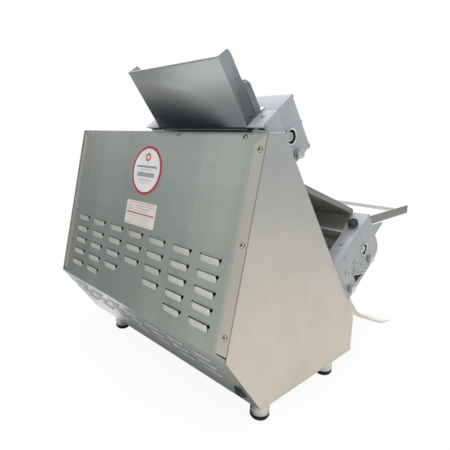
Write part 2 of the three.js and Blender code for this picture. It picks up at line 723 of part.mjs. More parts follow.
add('front_tray', frontTray(), 'tray');

// Discharge slide, from the housing front down to the table: y, z, side wall height.
const SLIDE_STATIONS = [
  [-62, 158, 11], [-80, 132.7, 11], [-92.4, 116.5, 11], [-104.5, 103, 11],
  [-118, 89.5, 10], [-133, 78, 9], [-157, 65, 7], [-188.6, 51, 5],
  [-214, 38.5, 4], [-268, 14.5, 4], [-304, 5, 4], [-324, 3, 3],
];
const GUSSET_OUTLINE = [
  [-60, 142], [-76.3, 139.1], [-92.9, 117.0], [-104.9, 103.6],
  [-118.4, 90.1], [-118, 84], [-46.8, 58], [-46.8, 106],
];
const dischargeSlide = () => {
  const rangeX = [-268, 196];
  const gussetsX = [-240, 170];
  const line = SLIDE_STATIONS.map(([y, z]) => [y, z]);
  const wallTop = SLIDE_STATIONS.map(([y, z, height], i) => {
    const previous = line[Math.max(0, i - 1)];
    const next = line[Math.min(line.length - 1, i + 1)];
    return shift([y, z], leftNormal(next, previous), height);
  });
  return join(
    prism(sheetOutline(line, -TRAY_SHEET), rangeX),
    ...walls([...line, ...wallTop.reverse()], rangeX),
    ...gussetsX.map((x) => prism(GUSSET_OUTLINE, [x, x + 2])),
    ...gussetsX.map((x) => box([x - 8, x + 1], [-48.6, -47.2], [66, 102])));
};
add('discharge_slide', dischargeSlide(), 'tray');

export default root;
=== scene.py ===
"""A sheet-metal machine with two sloping roller heads, chutes, a front tray and a louvred cover.

x runs from the left end (-x) to the right end (+x), y from front to rear, z up, floor at z = 0.
Sizes are in millimetres, except in materials, lights and camera, which use metres.
"""
import math
import random

import bmesh
import bpy
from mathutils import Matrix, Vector
from mathutils.geometry import tessellate_polygon


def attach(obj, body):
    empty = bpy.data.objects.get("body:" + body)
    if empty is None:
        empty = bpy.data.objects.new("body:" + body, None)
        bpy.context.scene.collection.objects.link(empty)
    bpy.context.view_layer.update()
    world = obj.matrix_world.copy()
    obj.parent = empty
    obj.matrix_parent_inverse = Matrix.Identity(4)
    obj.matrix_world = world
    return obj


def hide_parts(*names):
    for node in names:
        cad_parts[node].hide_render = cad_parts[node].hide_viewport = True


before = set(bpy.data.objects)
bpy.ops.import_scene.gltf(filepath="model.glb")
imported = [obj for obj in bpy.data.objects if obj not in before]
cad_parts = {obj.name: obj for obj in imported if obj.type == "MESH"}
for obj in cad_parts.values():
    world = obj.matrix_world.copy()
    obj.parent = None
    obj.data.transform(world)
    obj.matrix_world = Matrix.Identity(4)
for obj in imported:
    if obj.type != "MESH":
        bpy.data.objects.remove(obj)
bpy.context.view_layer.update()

random.seed(7)
SCENE = bpy.context.scene
MM = 0.001

# ------------------------------------------------------------------ driving dimensions
# (y, z) corners of the housing, seen from its right end, counter-clockwise
TOP_REAR, TOP_FRONT, NOSE = (270.1, 518.4), (230.3, 518.4), (-50.3, 113.7)
BASE_FRONT, BASE_REAR, REAR_BEND = (-49.6, 32.0), (262.5, 32.0), (355.5, 163.9)
HOUSING_OUTLINE = [TOP_REAR, TOP_FRONT, NOSE, BASE_FRONT, BASE_REAR, REAR_BEND]
SIDE_X = 300
X_AXIS = Vector((1, 0, 0))

# The two heads share sloping axes: u runs rearwards and down, v forwards and down
COS, SIN = math.cos(math.radians(35)), math.sin(math.radians(35))
U_AXIS, V_AXIS = Vector((0, COS, -SIN)), Vector((0, -SIN, -COS))
UPPER_CORNER, LOWER_CORNER = (209.0, 575.9), (-93.5, 340.7)
END_BOX_X = -293            # left face of the end boxes
UPPER_ROLLER_V, LOWER_ROLLER_V, ROLLER_PITCH = 56, 58.5, 49.5

# Rear faces: the tall sheet and the chamfer below it, each with its way down and outwards
SHEET_DOWN, SHEET_OUT = Vector((0, 0.2342, -0.9722)), Vector((0, 0.9722, 0.2342))
CHAMFER_DOWN, CHAMFER_OUT = Vector((0, -0.5762, -0.8172)), Vector((0, 0.8172, -0.5762))

BUTTON_Y, START_Z, STOP_Z = 205, 350, 316


def in_head(corner, u, v):
    return (corner[0] + COS * u - SIN * v, corner[1] - SIN * u - COS * v)


def upper(u, v):
    return in_head(UPPER_CORNER, u, v)


def lower(u, v):
    return in_head(LOWER_CORNER, u, v)


def upper3(x, u, v):
    return Vector((x, *upper(u, v)))


def lower3(x, u, v):
    return Vector((x, *lower(u, v)))


# ------------------------------------------------------------------ shader helpers
class NodeTree:
    """A shader tree with short ways to add nodes; all but node() return output sockets."""

    def __init__(self, tree):
        self.nodes, self.links = tree.nodes, tree.links

    def set(self, target, **inputs):
        """Set or link inputs, called by name with _ for a space, or by number as i0, i1."""
        for key, value in inputs.items():
            numbered = key[0] == "i" and key[1:].isdigit()
            socket = target.inputs[int(key[1:]) if numbered else key.replace("_", " ")]
            if isinstance(value, bpy.types.NodeSocket):
                self.links.new(value, socket)
            else:
                socket.default_value = (*value, 1.0) if socket.type == "RGBA" else value

    def node(self, kind, props=None, **inputs):
        node = self.nodes.new("ShaderNode" + kind)
        for key, value in (props or {}).items():
            setattr(node, key, value)
        self.set(node, **inputs)
        return node

    def calc(self, operation, *values):
        inputs = {f"i{n}": value for n, value in enumerate(values)}
        return self.node("Math", {"operation": operation}, **inputs).outputs[0]

    def plus(self, a, b):
        return self.calc("ADD", a, b)

    def minus(self, a, b):
        return self.calc("SUBTRACT", a, b)

    def times(self, a, b):
        return self.calc("MULTIPLY", a, b)

    def sway(self, signal, amount):
        """A 0..1 signal turned into a swing about zero."""
        return self.times(self.minus(signal, 0.5), amount)

    def length(self, x, y):
        return self.calc("SQRT", self.plus(self.times(x, x), self.times(y, y)))

    def mix(self, factor, a, b, mode="MIX"):
        props = {"data_type": "RGBA", "blend_type": mode}
        return self.node("Mix", props, i0=factor, i6=a, i7=b).outputs[2]

    def tinted(self, colour, by):
        return self.mix(1.0, colour, by, "MULTIPLY")

    def ramp(self, factor, stops, interpolation="LINEAR"):
        node = self.node("ValToRGB", Fac=factor)
        elements = node.color_ramp.elements
        node.color_ramp.interpolation = interpolation
        while len(elements) < len(stops):
            elements.new(0.5)
        for element, (position, colour) in zip(elements, stops):
            element.position = position
            element.color = (*(colour if hasattr(colour, "__len__") else (colour,) * 3), 1.0)
        return node.outputs[0]

    def remap(self, value, low, high, to_low=0.0, to_high=1.0, mode="LINEAR"):
        return self.node("MapRange", {"interpolation_type": mode},
                         i0=value, i1=low, i2=high, i3=to_low, i4=to_high).outputs[0]

    def smooth(self, value, low, high, to_low=0.0, to_high=1.0):
        return self.remap(value, low, high, to_low, to_high, "SMOOTHSTEP")

    def patches(self, signal, low, high, strength):
        return self.times(self.remap(signal, low, high), strength)

    def position(self):
        return self.node("TexCoord").outputs["Object"]

    def split(self, vector):
        return self.node("SeparateXYZ", Vector=vector).outputs

    def noise(self, scale, detail, roughness, distortion=0.0):
        """Noise at the object position scaled by scale, one number or one per axis."""
        scale = scale if hasattr(scale, "__len__") else (scale,) * 3
        mapping = self.node("Mapping", Scale=scale, Vector=self.position())
        return self.node("TexNoise", Vector=mapping.outputs[0], Scale=1.0, Detail=detail,
                         Roughness=roughness, Distortion=distortion).outputs[0]

    def relief(self, bsdf, height, strength, distance, edge=None):
        """Bump, over edges rounded by the radius edge."""
        bump = self.node("Bump", Strength=strength, Distance=distance, Height=height)
        if edge:
            self.set(bump, Normal=self.node("Bevel", {"samples": 4}, Radius=edge).outputs[0])
        self.set(bsdf, Normal=bump.outputs[0])


def fresh_tree(owner):
    owner.use_nodes = True
    owner.node_tree.nodes.clear()
    return NodeTree(owner.node_tree)


def new_material(name):
    material = bpy.data.materials.new(name)
    tree = fresh_tree(material)
    bsdf = tree.node("BsdfPrincipled")
    tree.node("OutputMaterial", i0=bsdf.outputs[0])
    return material, tree, bsdf


def scaled(colour, factor, lift=0.0):
    return tuple(min(1, c * factor + lift) for c in colour)


# ------------------------------------------------------------------ kinds of surface
def brushed(name, colour, roughness, anisotropy, grain, direction, tint, smudge, bump, shade):
    """Metal with a drawn grain in colour, gloss and relief, and soft handling marks."""
    material, tree, bsdf = new_material(name)
    streak = tree.noise(grain, detail=4.0, roughness=0.6)
    wide = tree.noise(tuple(g * 0.12 for g in grain), detail=3.0, roughness=0.55)
    soft = tree.noise(5, detail=4.0, roughness=0.55, distortion=0.6)
    specks = tree.noise(260, detail=2.0, roughness=0.5)
    both = tree.plus(tree.times(streak, 0.5), tree.times(wide, 0.5))
    result = tree.ramp(both, [(0.3, scaled(colour, 1 - tint * 1.6)), (0.5, colour),
                              (0.7, scaled(colour, 1 + tint * 1.6))])
    # darker handling marks, then darker specks
    result = tree.mix(tree.patches(soft, 0.35, 0.7, strength=smudge * 2.0),
                      result, scaled(colour, 0.82))
    result = tree.mix(tree.patches(specks, 0.68, 0.8, strength=0.25),
                      result, scaled(colour, 0.7))
    if shade:
        result = shade(tree, result)
    gloss = tree.plus(tree.sway(streak, 0.22), roughness)
    gloss = tree.plus(gloss, tree.sway(soft, smudge))
    tree.set(bsdf, Base_Color=result, Metallic=1.0, Roughness=gloss, Anisotropic=anisotropy)
    if direction is not None:
        local = tree.node("CombineXYZ", X=direction[0], Y=direction[1], Z=direction[2])
        to_world = {"vector_type": "VECTOR", "convert_from": "OBJECT", "convert_to": "WORLD"}
        turned_out = tree.node("VectorTransform", to_world, Vector=local.outputs[0])
        tree.set(bsdf, Tangent=turned_out.outputs[0])
    tree.relief(bsdf, streak, strength=bump, distance=0.00006, edge=0.0005)
    return material


def painted(name, colour, roughness, metallic, peel, tint, dust, coat, specular, scale, shade):
    """Smooth coating: orange peel, slight mottling and dusty patches."""
    material, tree, bsdf = new_material(name)
    peel_noise = tree.noise(scale, detail=2.0, roughness=0.5)
    soft = tree.noise(7, detail=5.0, roughness=0.6, distortion=0.5)
    mid = tree.noise(40, detail=4.0, roughness=0.6)
    result = tree.ramp(soft, [(0.3, scaled(colour, 1 - tint)), (0.55, colour),
                              (0.75, scaled(colour, 1 + tint))])
    result = tree.mix(tree.patches(mid, 0.55, 0.8, strength=dust),
                      result, scaled(colour, 1.25, lift=0.02))
    if shade:
        result = shade(tree, result)
    tree.set(bsdf, Base_Color=result, Metallic=metallic,
             Roughness=tree.plus(tree.sway(mid, 0.22), roughness),
             Coat_Weight=coat, Coat_Roughness=0.25, Specular_IOR_Level=specular)
    tree.relief(bsdf, peel_noise, strength=peel, distance=0.00012, edge=0.0008)
    return material


def turned(name, colour, roughness):
    """Turned or plated bar stock: fine rings and bright patches."""
    material, tree, bsdf = new_material(name)
    fine = tree.noise((900, 60, 60), detail=3.0, roughness=0.6)
    soft = tree.noise(30, detail=4.0, roughness=0.6)
    tree.set(bsdf, Base_Color=tree.ramp(soft, [(0.3, scaled(colour, 0.88)), (0.6, colour)]),
             Metallic=1.0, Roughness=tree.plus(tree.sway(fine, 0.25), roughness))
    tree.relief(bsdf, fine, strength=0.15, distance=0.00005, edge=0.0005)
    return material


# ------------------------------------------------------------------ tone drifts over a surface: painted light, shade and reflection, with some random clouding
def cover_painted_reflection(tree, colour):
    """Painted reflection: lighter upright bands and a little darker low down, standing in for the
    studio seen in the sheet.
    """
    _, _, z = tree.split(tree.position())
    band = tree.noise((11, 0.8, 0.8), detail=3.0, roughness=0.6)
    bands = tree.mix(tree.smooth(band, 0.45, 0.66), (0.94, 0.955, 0.94), (1.07, 1.07, 1.06))
    rise = tree.mix(tree.remap(z, 0.15, 0.52), (0.95, 0.985, 0.955), (1.02, 1.02, 1.02))
    return tree.tinted(tree.tinted(colour, bands), rise)


def side_painted_reflection(tree, colour):
    """Painted reflection: cooler towards the top, warmer and lighter below, as the floor and
    studio would show in it; the faint clouding is random tone.
    """
    _, _, z = tree.split(tree.position())
    wobble = tree.noise(7, detail=4.0, roughness=0.55, distortion=0.8)
    height = tree.plus(z, tree.sway(wobble, 0.10))
    rise = tree.ramp(tree.remap(height, 0.0, 0.52), [
        (0.0, (1.055, 1.03, 1.01)), (0.35, (1.07, 1.035, 1.01)), (0.62, (1.03, 1.02, 1.0)),
        (0.8, (0.97, 0.985, 0.985)), (1.0, (0.95, 0.985, 1.01))])
    cloud = tree.noise(16, detail=3.0, roughness=0.5, distortion=0.5)
    clouds = tree.ramp(cloud, [(0.3, (0.965, 0.965, 0.965)), (0.7, (1.03, 1.03, 1.03))])
    return tree.tinted(tree.tinted(colour, rise), clouds)


def chute_painted_reflection_and_shade(tree, colour):
    """Polished plate with painted reflection and shade: lighter high up, then the tone falls off
    down its slope, measured along V_AXIS.
    """
    corner = (0.0, 0.209, 0.5759)      # the upper head's corner, in metres
    offset = tree.node("VectorMath", {"operation": "SUBTRACT"}, i0=tree.position(), i1=corner)
    down = tree.node("VectorMath", {"operation": "DOT_PRODUCT"},
                     i0=offset.outputs[0], i1=tuple(V_AXIS)).outputs["Value"]
    wobble = tree.noise(5, detail=3.0, roughness=0.5, distortion=0.4)
    place = tree.plus(down, tree.sway(wobble, 0.018))
    fall = tree.ramp(tree.remap(place, -0.13, 0.0), [
        (0.0, (0.80, 0.82, 0.815)), (0.18, (0.90, 0.92, 0.92)), (0.32, (0.86, 0.875, 0.87)),
        (0.50, (0.60, 0.61, 0.605)), (0.62, (0.46, 0.475, 0.475)),
        (0.74, (0.36, 0.385, 0.39)), (0.9, (0.30, 0.34, 0.36)), (1.0, (0.26, 0.30, 0.32))])
    return tree.tinted(colour, fall)


def facing(tree):
    """x, y, z of the surface normal."""
    return tree.split(tree.node("NewGeometry").outputs["Normal"])


def tray_painted_light(tree, colour):
    """Painted light: upward, rearward and downward faces are made bright; faces towards the ends
    are made duller.
    """
    x, y, z = facing(tree)
    upward = tree.calc("MAXIMUM", y, z)
    endward = tree.smooth(tree.calc("ABSOLUTE", x), 0.6, 0.85)
    tone = tree.mix(endward, (1.0, 1.0, 1.0), (0.70, 0.71, 0.69))
    tone = tree.mix(tree.smooth(z, -0.4, -0.8), tone, (2.0, 2.05, 1.9))
    tone = tree.mix(tree.smooth(upward, 0.4, 0.75), tone, (2.15, 2.15, 2.15))
    return tree.tinted(colour, tone)


def head_painted_light(tree, colour):
    """Painted light: duller on the end plates, lighter on rearward faces."""
    x, y, _ = facing(tree)
    endward = tree.smooth(tree.calc("ABSOLUTE", x), 0.5, 0.9)
    tone = tree.mix(tree.smooth(y, 0.2, 0.5), (0.98, 0.985, 1.0), (1.08, 1.075, 1.12))
    return tree.tinted(colour, tree.mix(endward, tone, (0.80, 0.82, 0.80)))


# ------------------------------------------------------------------ materials
STEEL = (0.545, 0.582, 0.557)
# key: name, colour,
#      roughness, anisotropy, grain scale per axis, grain direction, tint, smudge, bump, shade
BRUSHED = {
    "cover": ("cover_steel_brushed", STEEL,
              0.34, 0.82, (3, 640, 640), SHEET_DOWN, 0.035, 0.06, 0.12, cover_painted_reflection),
    "chamfer": ("cover_steel_lower", STEEL,
                0.30, 0.6, (3, 640, 640), CHAMFER_DOWN, 0.035, 0.06, 0.12, None),
    # the side slopes of the cover are warmer and lighter: painted reflection of the floor
    "cover_edge": ("cover_steel_flange", (0.66, 0.645, 0.595),
                   0.36, 0.7, (420, 420, 3), (1, 0, 0), 0.03, 0.12, 0.12, None),
    # the louvre blades are much lighter than the sheet: painted reflection of the bright studio
    # and floor they face
    "blade": ("louvre_steel_worked", (0.80, 0.81, 0.775),
              0.40, 0.25, (40, 260, 260), SHEET_DOWN, 0.09, 0.22, 0.12, None),
    "blade_low": ("louvre_steel_worked_lower", (0.98, 0.96, 0.92),
                  0.34, 0.25, (60, 420, 420), CHAMFER_DOWN, 0.02, 0.04, 0.12, None),
    "zinc": ("zinc_sheet", (0.50, 0.51, 0.50),
             0.42, 0.2, (60, 60, 60), None, 0.12, 0.2, 0.2, None),
    "side": ("side_steel_satin", (0.62, 0.605, 0.575),
             0.40, 0.3, (420, 5, 420), (0, 0, 1), 0.012, 0.10, 0.06, side_painted_reflection),
    "chute": ("chute_steel_polished", (0.56, 0.575, 0.575),
              0.085, 0.15, (3, 560, 560), V_AXIS, 0.01, 0.03, 0.02, chute_painted_reflection_and_shade),
    "tray": ("tray_steel_brushed", (0.43, 0.435, 0.43),
             0.33, 0.6, (3, 560, 560), (0, 1, 0), 0.05, 0.12, 0.12, tray_painted_light),
    "guard": ("guard_steel_dull", (0.80, 0.80, 0.75),
              0.42, 0.4, (3, 420, 420), None, 0.05, 0.2, 0.12, None),
    "slide": ("slide_steel", (0.62, 0.61, 0.58),
              0.36, 0.4, (3, 560, 560), (0, 0.8, 0.6), 0.05, 0.1, 0.12, None),
}
# key: name, colour,
#      roughness, metallic, orange peel, tint, dust, coat, specular, peel scale, shade
PAINTED = {
    "head": ("head_coating", (0.44, 0.45, 0.475),
             0.36, 0.2, 0.10, 0.05, 0.08, 0.2, 0.5, 220, head_painted_light),
    "iron": ("cast_housing_metal", (0.10, 0.105, 0.11),
             0.55, 0.5, 0.6, 0.15, 0.15, 0.0, 0.5, 420, None),
    "motor": ("motor_paint", (0.05, 0.10, 0.14),
              0.4, 0.1, 0.2, 0.1, 0.12, 0.2, 0.5, 220, None),
    "polymer": ("bearing_polymer_white", (0.72, 0.72, 0.69),
                0.5, 0.0, 0.15, 0.03, 0.05, 0.0, 0.5, 500, None),
    "roller": ("roller_polymer_satin", (0.36, 0.36, 0.345),
               0.38, 0.0, 0.08, 0.04, 0.08, 0.1, 0.5, 300, None),
    "black": ("black_plastic_knob", (0.018, 0.024, 0.022),
              0.42, 0.0, 0.35, 0.2, 0.12, 0.1, 0.5, 700, None),
    "rubber": ("foot_rubber_black", (0.010, 0.010, 0.011),
               0.7, 0.0, 0.5, 0.2, 0.12, 0.0, 0.35, 600, None),
    "bezel": ("bezel_grey", (0.22, 0.23, 0.24),
              0.45, 0.3, 0.15, 0.06, 0.06, 0.1, 0.5, 220, None),
    "green": ("button_green", (0.02, 0.32, 0.09),
              0.3, 0.0, 0.05, 0.06, 0.04, 0.4, 0.5, 220, None),
    "red": ("button_red", (0.50, 0.015, 0.02),
            0.3, 0.0, 0.05, 0.06, 0.04, 0.4, 0.5, 220, None),
    # near black: for the dial ticks, and as painted shade in screw recesses, under screw heads,
    # inside the hubs and on the end box patch
    "dark": ("dark_recess", (0.012, 0.013, 0.013),
             0.6, 0.0, 0.3, 0.2, 0.05, 0.0, 0.2, 220, None),
}
# key: name, colour, roughness
TURNED = {
    "shaft": ("plated_shaft", (0.68, 0.69, 0.68), 0.22),
    "screw": ("screw_steel", (0.62, 0.62, 0.6), 0.2),
    "screw_dark": ("screw_steel_dark", (0.05, 0.055, 0.055), 0.35),
    "drive": ("drive_steel_oiled", (0.30, 0.29, 0.28), 0.34),
}
MATERIALS = {}
for surface, recipes in ((brushed, BRUSHED), (painted, PAINTED), (turned, TURNED)):
    for key, recipe in recipes.items():
        MATERIALS[key] = surface(*recipe)


# ------------------------------------------------------------------ plate faces, without lettering
def plate_face(name, mottle_scale, tones, bars, marks=None, **finish):
    """A mottled face with plain bars; the UV map holds mm from its centre."""
    material, tree, bsdf = new_material(name)
    x, y, _ = tree.split(tree.node("TexCoord").outputs["UV"])
    mottle = tree.noise(mottle_scale, detail=3.0, roughness=0.5)
    colour = tree.ramp(mottle, list(zip((0.3, 0.7), tones)))

    def between(value, low, high):
        return tree.times(tree.calc("GREATER_THAN", value, low),
                          tree.calc("LESS_THAN", value, high))

    for left, right, bottom, top, bar_colour in bars:
        inside = tree.times(between(x, left, right), between(y, bottom, top))
        colour = tree.mix(inside, colour, bar_colour)
    if marks:
        colour = marks(tree, colour, x, y)
    tree.set(bsdf, Base_Color=colour, **finish)
    tree.relief(bsdf, mottle, strength=0.05, distance=0.0001)
    return material


def round_marks(tree, colour, x, y):
    """A red dot with a pale middle high on the face, and a red rim."""
    from_dot = tree.length(x, tree.minus(y, 27.0))
    colour = tree.mix(tree.calc("LESS_THAN", from_dot, 8.5), colour, (0.50, 0.03, 0.05))
    colour = tree.mix(tree.calc("LESS_THAN", from_dot, 4.5), colour, (0.7, 0.68, 0.68))
    at_rim = tree.calc("GREATER_THAN", tree.length(x, y), 44.8)
    return tree.mix(at_rim, colour, (0.42, 0.008, 0.028))


# Bars: left, right, bottom, top, colour
ROUND_BARS = [(-34, 34, 5.5, 9.5, (0.25, 0.24, 0.25)), (-20, 20, 0.5, 2.5, (0.45, 0.43, 0.43)),
              (-30, 30, -13.5, -4.5, (0.30, 0.32, 0.33)),
              (-24, 24, -21, -19, (0.5, 0.42, 0.42)),
              (-18, 18, -26.5, -24.8, (0.55, 0.5, 0.5))]
RECTANGLE_BARS = [(-48, 48, -1.6, 1.6, (0.52, 0.10, 0.08)),
                  (-46, 46, 20.5, 22, (0.56, 0.30, 0.28)),
                  (-46, 46, -22, -20.5, (0.56, 0.30, 0.28))]
for k in range(3):
    RECTANGLE_BARS += [
        (-24, 44 - 9 * k, 15.5 - 5.2 * k, 16.7 - 5.2 * k, (0.36, 0.34, 0.33)),
        (-44, 42 - 6 * k, -6.2 - 5.0 * k, -5.1 - 5.0 * k, (0.42, 0.38, 0.37))]
RECTANGLE_BARS += [(-44, -30, 5.5, 16.5, (0.42, 0.40, 0.38)),
                   (-42, -32, 7.5, 14.5, (0.62, 0.60, 0.57))]


# ------------------------------------------------------------------ mesh helpers
class Mesh:
    """Vertices, faces and a material slot per face, gathered from (vertices, faces) pieces."""

    def __init__(self, *pieces):
        self.vertices, self.faces, self.slots = [], [], []
        for piece in pieces:
            self.add(piece)

    def add(self, piece, slots=0):
        """Add a piece; slots is one slot for all its faces, or a list of them."""
        vertices, faces = piece
        base = len(self.vertices)
        self.vertices += [tuple(p) for p in vertices]
        self.faces += [[i + base for i in face] for face in faces]
        self.slots += slots if isinstance(slots, list) else [slots] * len(faces)


def link(name, data):
    obj = bpy.data.objects.new(name, data)
    SCENE.collection.objects.link(obj)
    return obj


def shade_smooth(mesh):
    mesh.polygons.foreach_set("use_smooth", [True] * len(mesh.polygons))


def edge_modifiers(obj, bevel, bevel_angle, split_angle):
    if bevel:
        edges = obj.modifiers.new("edges", "BEVEL")
        edges.width = bevel * MM
        edges.segments = 2
        edges.limit_method = "ANGLE"
        edges.angle_limit = math.radians(bevel_angle)
    split = obj.modifiers.new("split", "EDGE_SPLIT")
    split.split_angle = math.radians(split_angle)
    split.use_edge_sharp = False


def build(name, mesh, materials, body="housing", replaces=None,
          smooth=34, thick=None, bevel=None, recalc=False):
    """Make an object; materials lists their keys, parted by spaces."""
    data = bpy.data.meshes.new(name)
    data.from_pydata([tuple(c * MM for c in p) for p in mesh.vertices], [], mesh.faces)
    for key in materials.split():
        data.materials.append(MATERIALS[key])
    for polygon, index in zip(data.polygons, mesh.slots):
        polygon.material_index = index
    bm = bmesh.new()
    bm.from_mesh(data)
    bmesh.ops.remove_doubles(bm, verts=bm.verts, dist=2e-6)
    if recalc:
        bmesh.ops.recalc_face_normals(bm, faces=bm.faces)
    bm.to_mesh(data)
    bm.free()
    shade_smooth(data)
    obj = link(name, data)
    if thick:
        sheet = obj.modifiers.new("sheet", "SOLIDIFY")
        sheet.thickness = thick * MM
        sheet.offset = -1
        sheet.use_even_offset = True
        sheet.use_quality_normals = True
    edge_modifiers(obj, bevel, 32, smooth)
    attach(obj, body)
    if replaces:
        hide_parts(replaces)


def flipped(faces):
    return [face[::-1] for face in faces]


def grid_faces(rows, columns):
    """Faces of an open grid of points, given row by row."""
    return [[j * columns + i, j * columns + i + 1, (j + 1) * columns + i + 1,
             (j + 1) * columns + i] for j in range(rows - 1) for i in range(columns - 1)]


def ring_faces(rings, count):
    """Faces between closed rings of count points."""
    return [[k * count + i, k * count + (i + 1) % count, (k + 1) * count + (i + 1) % count,
             (k + 1) * count + i] for k in range(rings - 1) for i in range(count)]


def block_faces(count):
    """Two end caps and the sides between them."""
    return [list(range(count))[::-1], list(range(count, 2 * count))] + ring_faces(2, count)


def prism(points, x0, x1):
    """A (y, z) outline drawn out from x0 to x1."""
    return [(x, p[0], p[1]) for x in (x0, x1) for p in points], block_faces(len(points))


def fillet(path, radius, steps=5):
    """A 2D path with its corners rounded."""
    rounded = [Vector(path[0])]
    for before, corner, after in zip(path, path[1:], path[2:]):
        corner = Vector(corner)
        back, ahead = Vector(before) - corner, Vector(after) - corner
        room = 0.48 * min(back.length, ahead.length)
        back.normalize()
        ahead.normalize()
        half = back.angle(ahead) / 2
        reach = min(radius / math.tan(half), room)
        centre = corner + (back + ahead).normalized() * (reach * math.tan(half) / math.sin(half))
        start, end = corner + back * reach - centre, corner + ahead * reach - centre
        sweep = start.angle(end) * (1 if start.x * end.y - start.y * end.x > 0 else -1)
        for k in range(steps + 1):
            c, s = math.cos(sweep * k / steps), math.sin(sweep * k / steps)
            rounded.append(centre + Vector((start.x * c - start.y * s,
                                            start.x * s + start.y * c)))
    rounded.append(Vector(path[-1]))
    return [tuple(p) for p in rounded]


def directions(path):
    """Unit direction at each point of a 2D path."""
    ends = zip(path[:1] + path[:-1], path[1:] + path[-1:])
    return [Vector((b[0] - a[0], b[1] - a[1])).normalized() for a, b in ends]


def thicken(path, thickness):
    """A closed outline: the path and its copy moved to the left by thickness."""
    moved = [(p[0] - d.y * thickness, p[1] + d.x * thickness)
             for p, d in zip(path, directions(path))]
    return list(path) + moved[::-1]


def bent_strip(name, path, radius, thickness, x0, x1, material, steps=4):
    """A strip with a rounded (y, z) profile."""
    profile = thicken(fillet(path, radius, steps), thickness)
    build(name, Mesh(prism(profile, x0, x1)), material, smooth=30, recalc=True)


def spline(points, steps):
    """Catmull-Rom curve through the points."""
    curve = []
    for i in range(len(points) - 1):
        p0, p1, p2, p3 = (Vector(points[min(max(0, k), len(points) - 1)])
                          for k in range(i - 1, i + 3))
        for k in range(steps):
            t = k / steps
            curve.append(tuple(0.5 * (2 * p1 + (p2 - p0) * t
                                      + (2 * p0 - 5 * p1 + 4 * p2 - p3) * t * t
                                      + (3 * p1 - p0 - 3 * p2 + p3) * t ** 3)))
    curve.append(tuple(points[-1]))
    return curve


def lathe(profile, origin, axis, segments=40):
    """A (radius, height) profile turned about an axis."""
    axis, origin = Vector(axis).normalized(), Vector(origin)
    reference = Vector((1, 0, 0)) if abs(axis.x) < 0.9 else Vector((0, 1, 0))
    side1 = axis.cross(reference).normalized()
    side2 = axis.cross(side1)
    vertices = []
    for radius, height in profile:
        for i in range(segments):
            t = 2 * math.pi * i / segments
            around = side1 * math.cos(t) + side2 * math.sin(t)
            vertices.append(origin + axis * height + around * radius)
    return vertices, ring_faces(len(profile), segments)


def circle(centre, radius, count):
    return [(centre[0] + radius * math.cos(2 * math.pi * i / count),
             centre[1] + radius * math.sin(2 * math.pi * i / count)) for i in range(count)]


def rounded_rectangle(half_width, half_height, radius, steps):
    """Outline given by the centres of its corner arcs."""
    points = []
    for x, y, start in ((half_width, half_height, 0), (-half_width, half_height, 90),
                        (-half_width, -half_height, 180), (half_width, -half_height, 270)):
        for k in range(steps + 1):
            t = math.radians(start + 90 / steps * k)
            points.append((x + radius * math.cos(t), y + radius * math.sin(t)))
    return points


def tessellate(loops, turn):
    """Points and triangles of a face with holes, counter-clockwise for turn 1, else -1."""
    loops = [[Vector((p[0], p[1], 0)) for p in loop] for loop in loops]
    points = [p for loop in loops for p in loop]
    triangles = []
    for triangle in tessellate_polygon(loops):
        a, b, c = (points[i] for i in triangle)
        if (b - a).cross(c - a).z * turn < 0:
            triangle = triangle[::-1]
        triangles.append(list(triangle))
    return points, triangles


def folded(outline, folds, radius, origin, along, across, out, steps=4, holes=()):
    """A flat sheet face with some edges folded back, away from out.

    folds: edge number -> flange depth, or flange outline [(place along the edge, depth), ...]
    """
    count = len(outline)
    corners = [Vector(p) for p in outline]
    edges = [(corners[(i + 1) % count] - corners[i]).normalized() for i in range(count)]
    inward = [Vector((-edge.y, edge.x)) for edge in edges]

    def inset(amount):
        """The outline with its folded edges moved inwards."""
        points = []
        for i, corner in enumerate(corners):
            a, b = inward[i - 1], inward[i]
            move_a = amount if (i - 1) % count in folds else 0.0
            move_b = amount if i in folds else 0.0
            det = a.x * b.y - a.y * b.x
            points.append(corner + Vector(((move_a * b.y - move_b * a.y) / det,
                                           (a.x * move_b - b.x * move_a) / det)))
        return points

    def place(p, depth):
        return (Vector(origin) + Vector(along) * p[0] + Vector(across) * p[1]
                - Vector(out) * depth)

    vertices, faces = [], []
    for k in range(steps + 1):
        t = math.pi / 2 * k / steps
        vertices += [place(p, radius * (1 - math.cos(t)))
                     for p in inset(radius * (1 - math.sin(t)))]
    if holes:
        base = len(vertices)
        points, triangles = tessellate([inset(radius), *holes], 1)
        vertices += [place(p, 0) for p in points]
        faces += [[base + i for i in triangle] for triangle in triangles]
    else:
        faces.append(list(range(count)))
    for i, flange in folds.items():
        j = (i + 1) % count
        for k in range(steps):
            faces.append([k * count + j, k * count + i, (k + 1) * count + i,
                          (k + 1) * count + j])
        if isinstance(flange, list):
            rim = [place(corners[i] + edges[i] * t, depth) for t, depth in flange]
        else:
            rim = [place(corners[i], flange), place(corners[j], flange)]
        base = len(vertices)
        vertices += rim
        faces.append([steps * count + j, steps * count + i,
                      *range(base, base + len(rim))])
    return vertices, faces


# ------------------------------------------------------------------ cross-recessed screws
SCREW_GRID = [-1, -0.86, -0.66, -0.6, -0.4, -0.2, -0.15, 0, 0.15, 0.2, 0.4, 0.6, 0.66, 0.86, 1]
SCREW_CELLS = [(a + b) / 2 for a, b in zip(SCREW_GRID, SCREW_GRID[1:])]


def in_recess(a, b):
    return (abs(a) < 0.17 and abs(b) < 0.63) or (abs(b) < 0.17 and abs(a) < 0.63)


# the cross recess takes the dark slot: painted shade in the recess
RECESS_SLOTS = [int(in_recess(a, b)) for b in SCREW_CELLS for a in SCREW_CELLS]


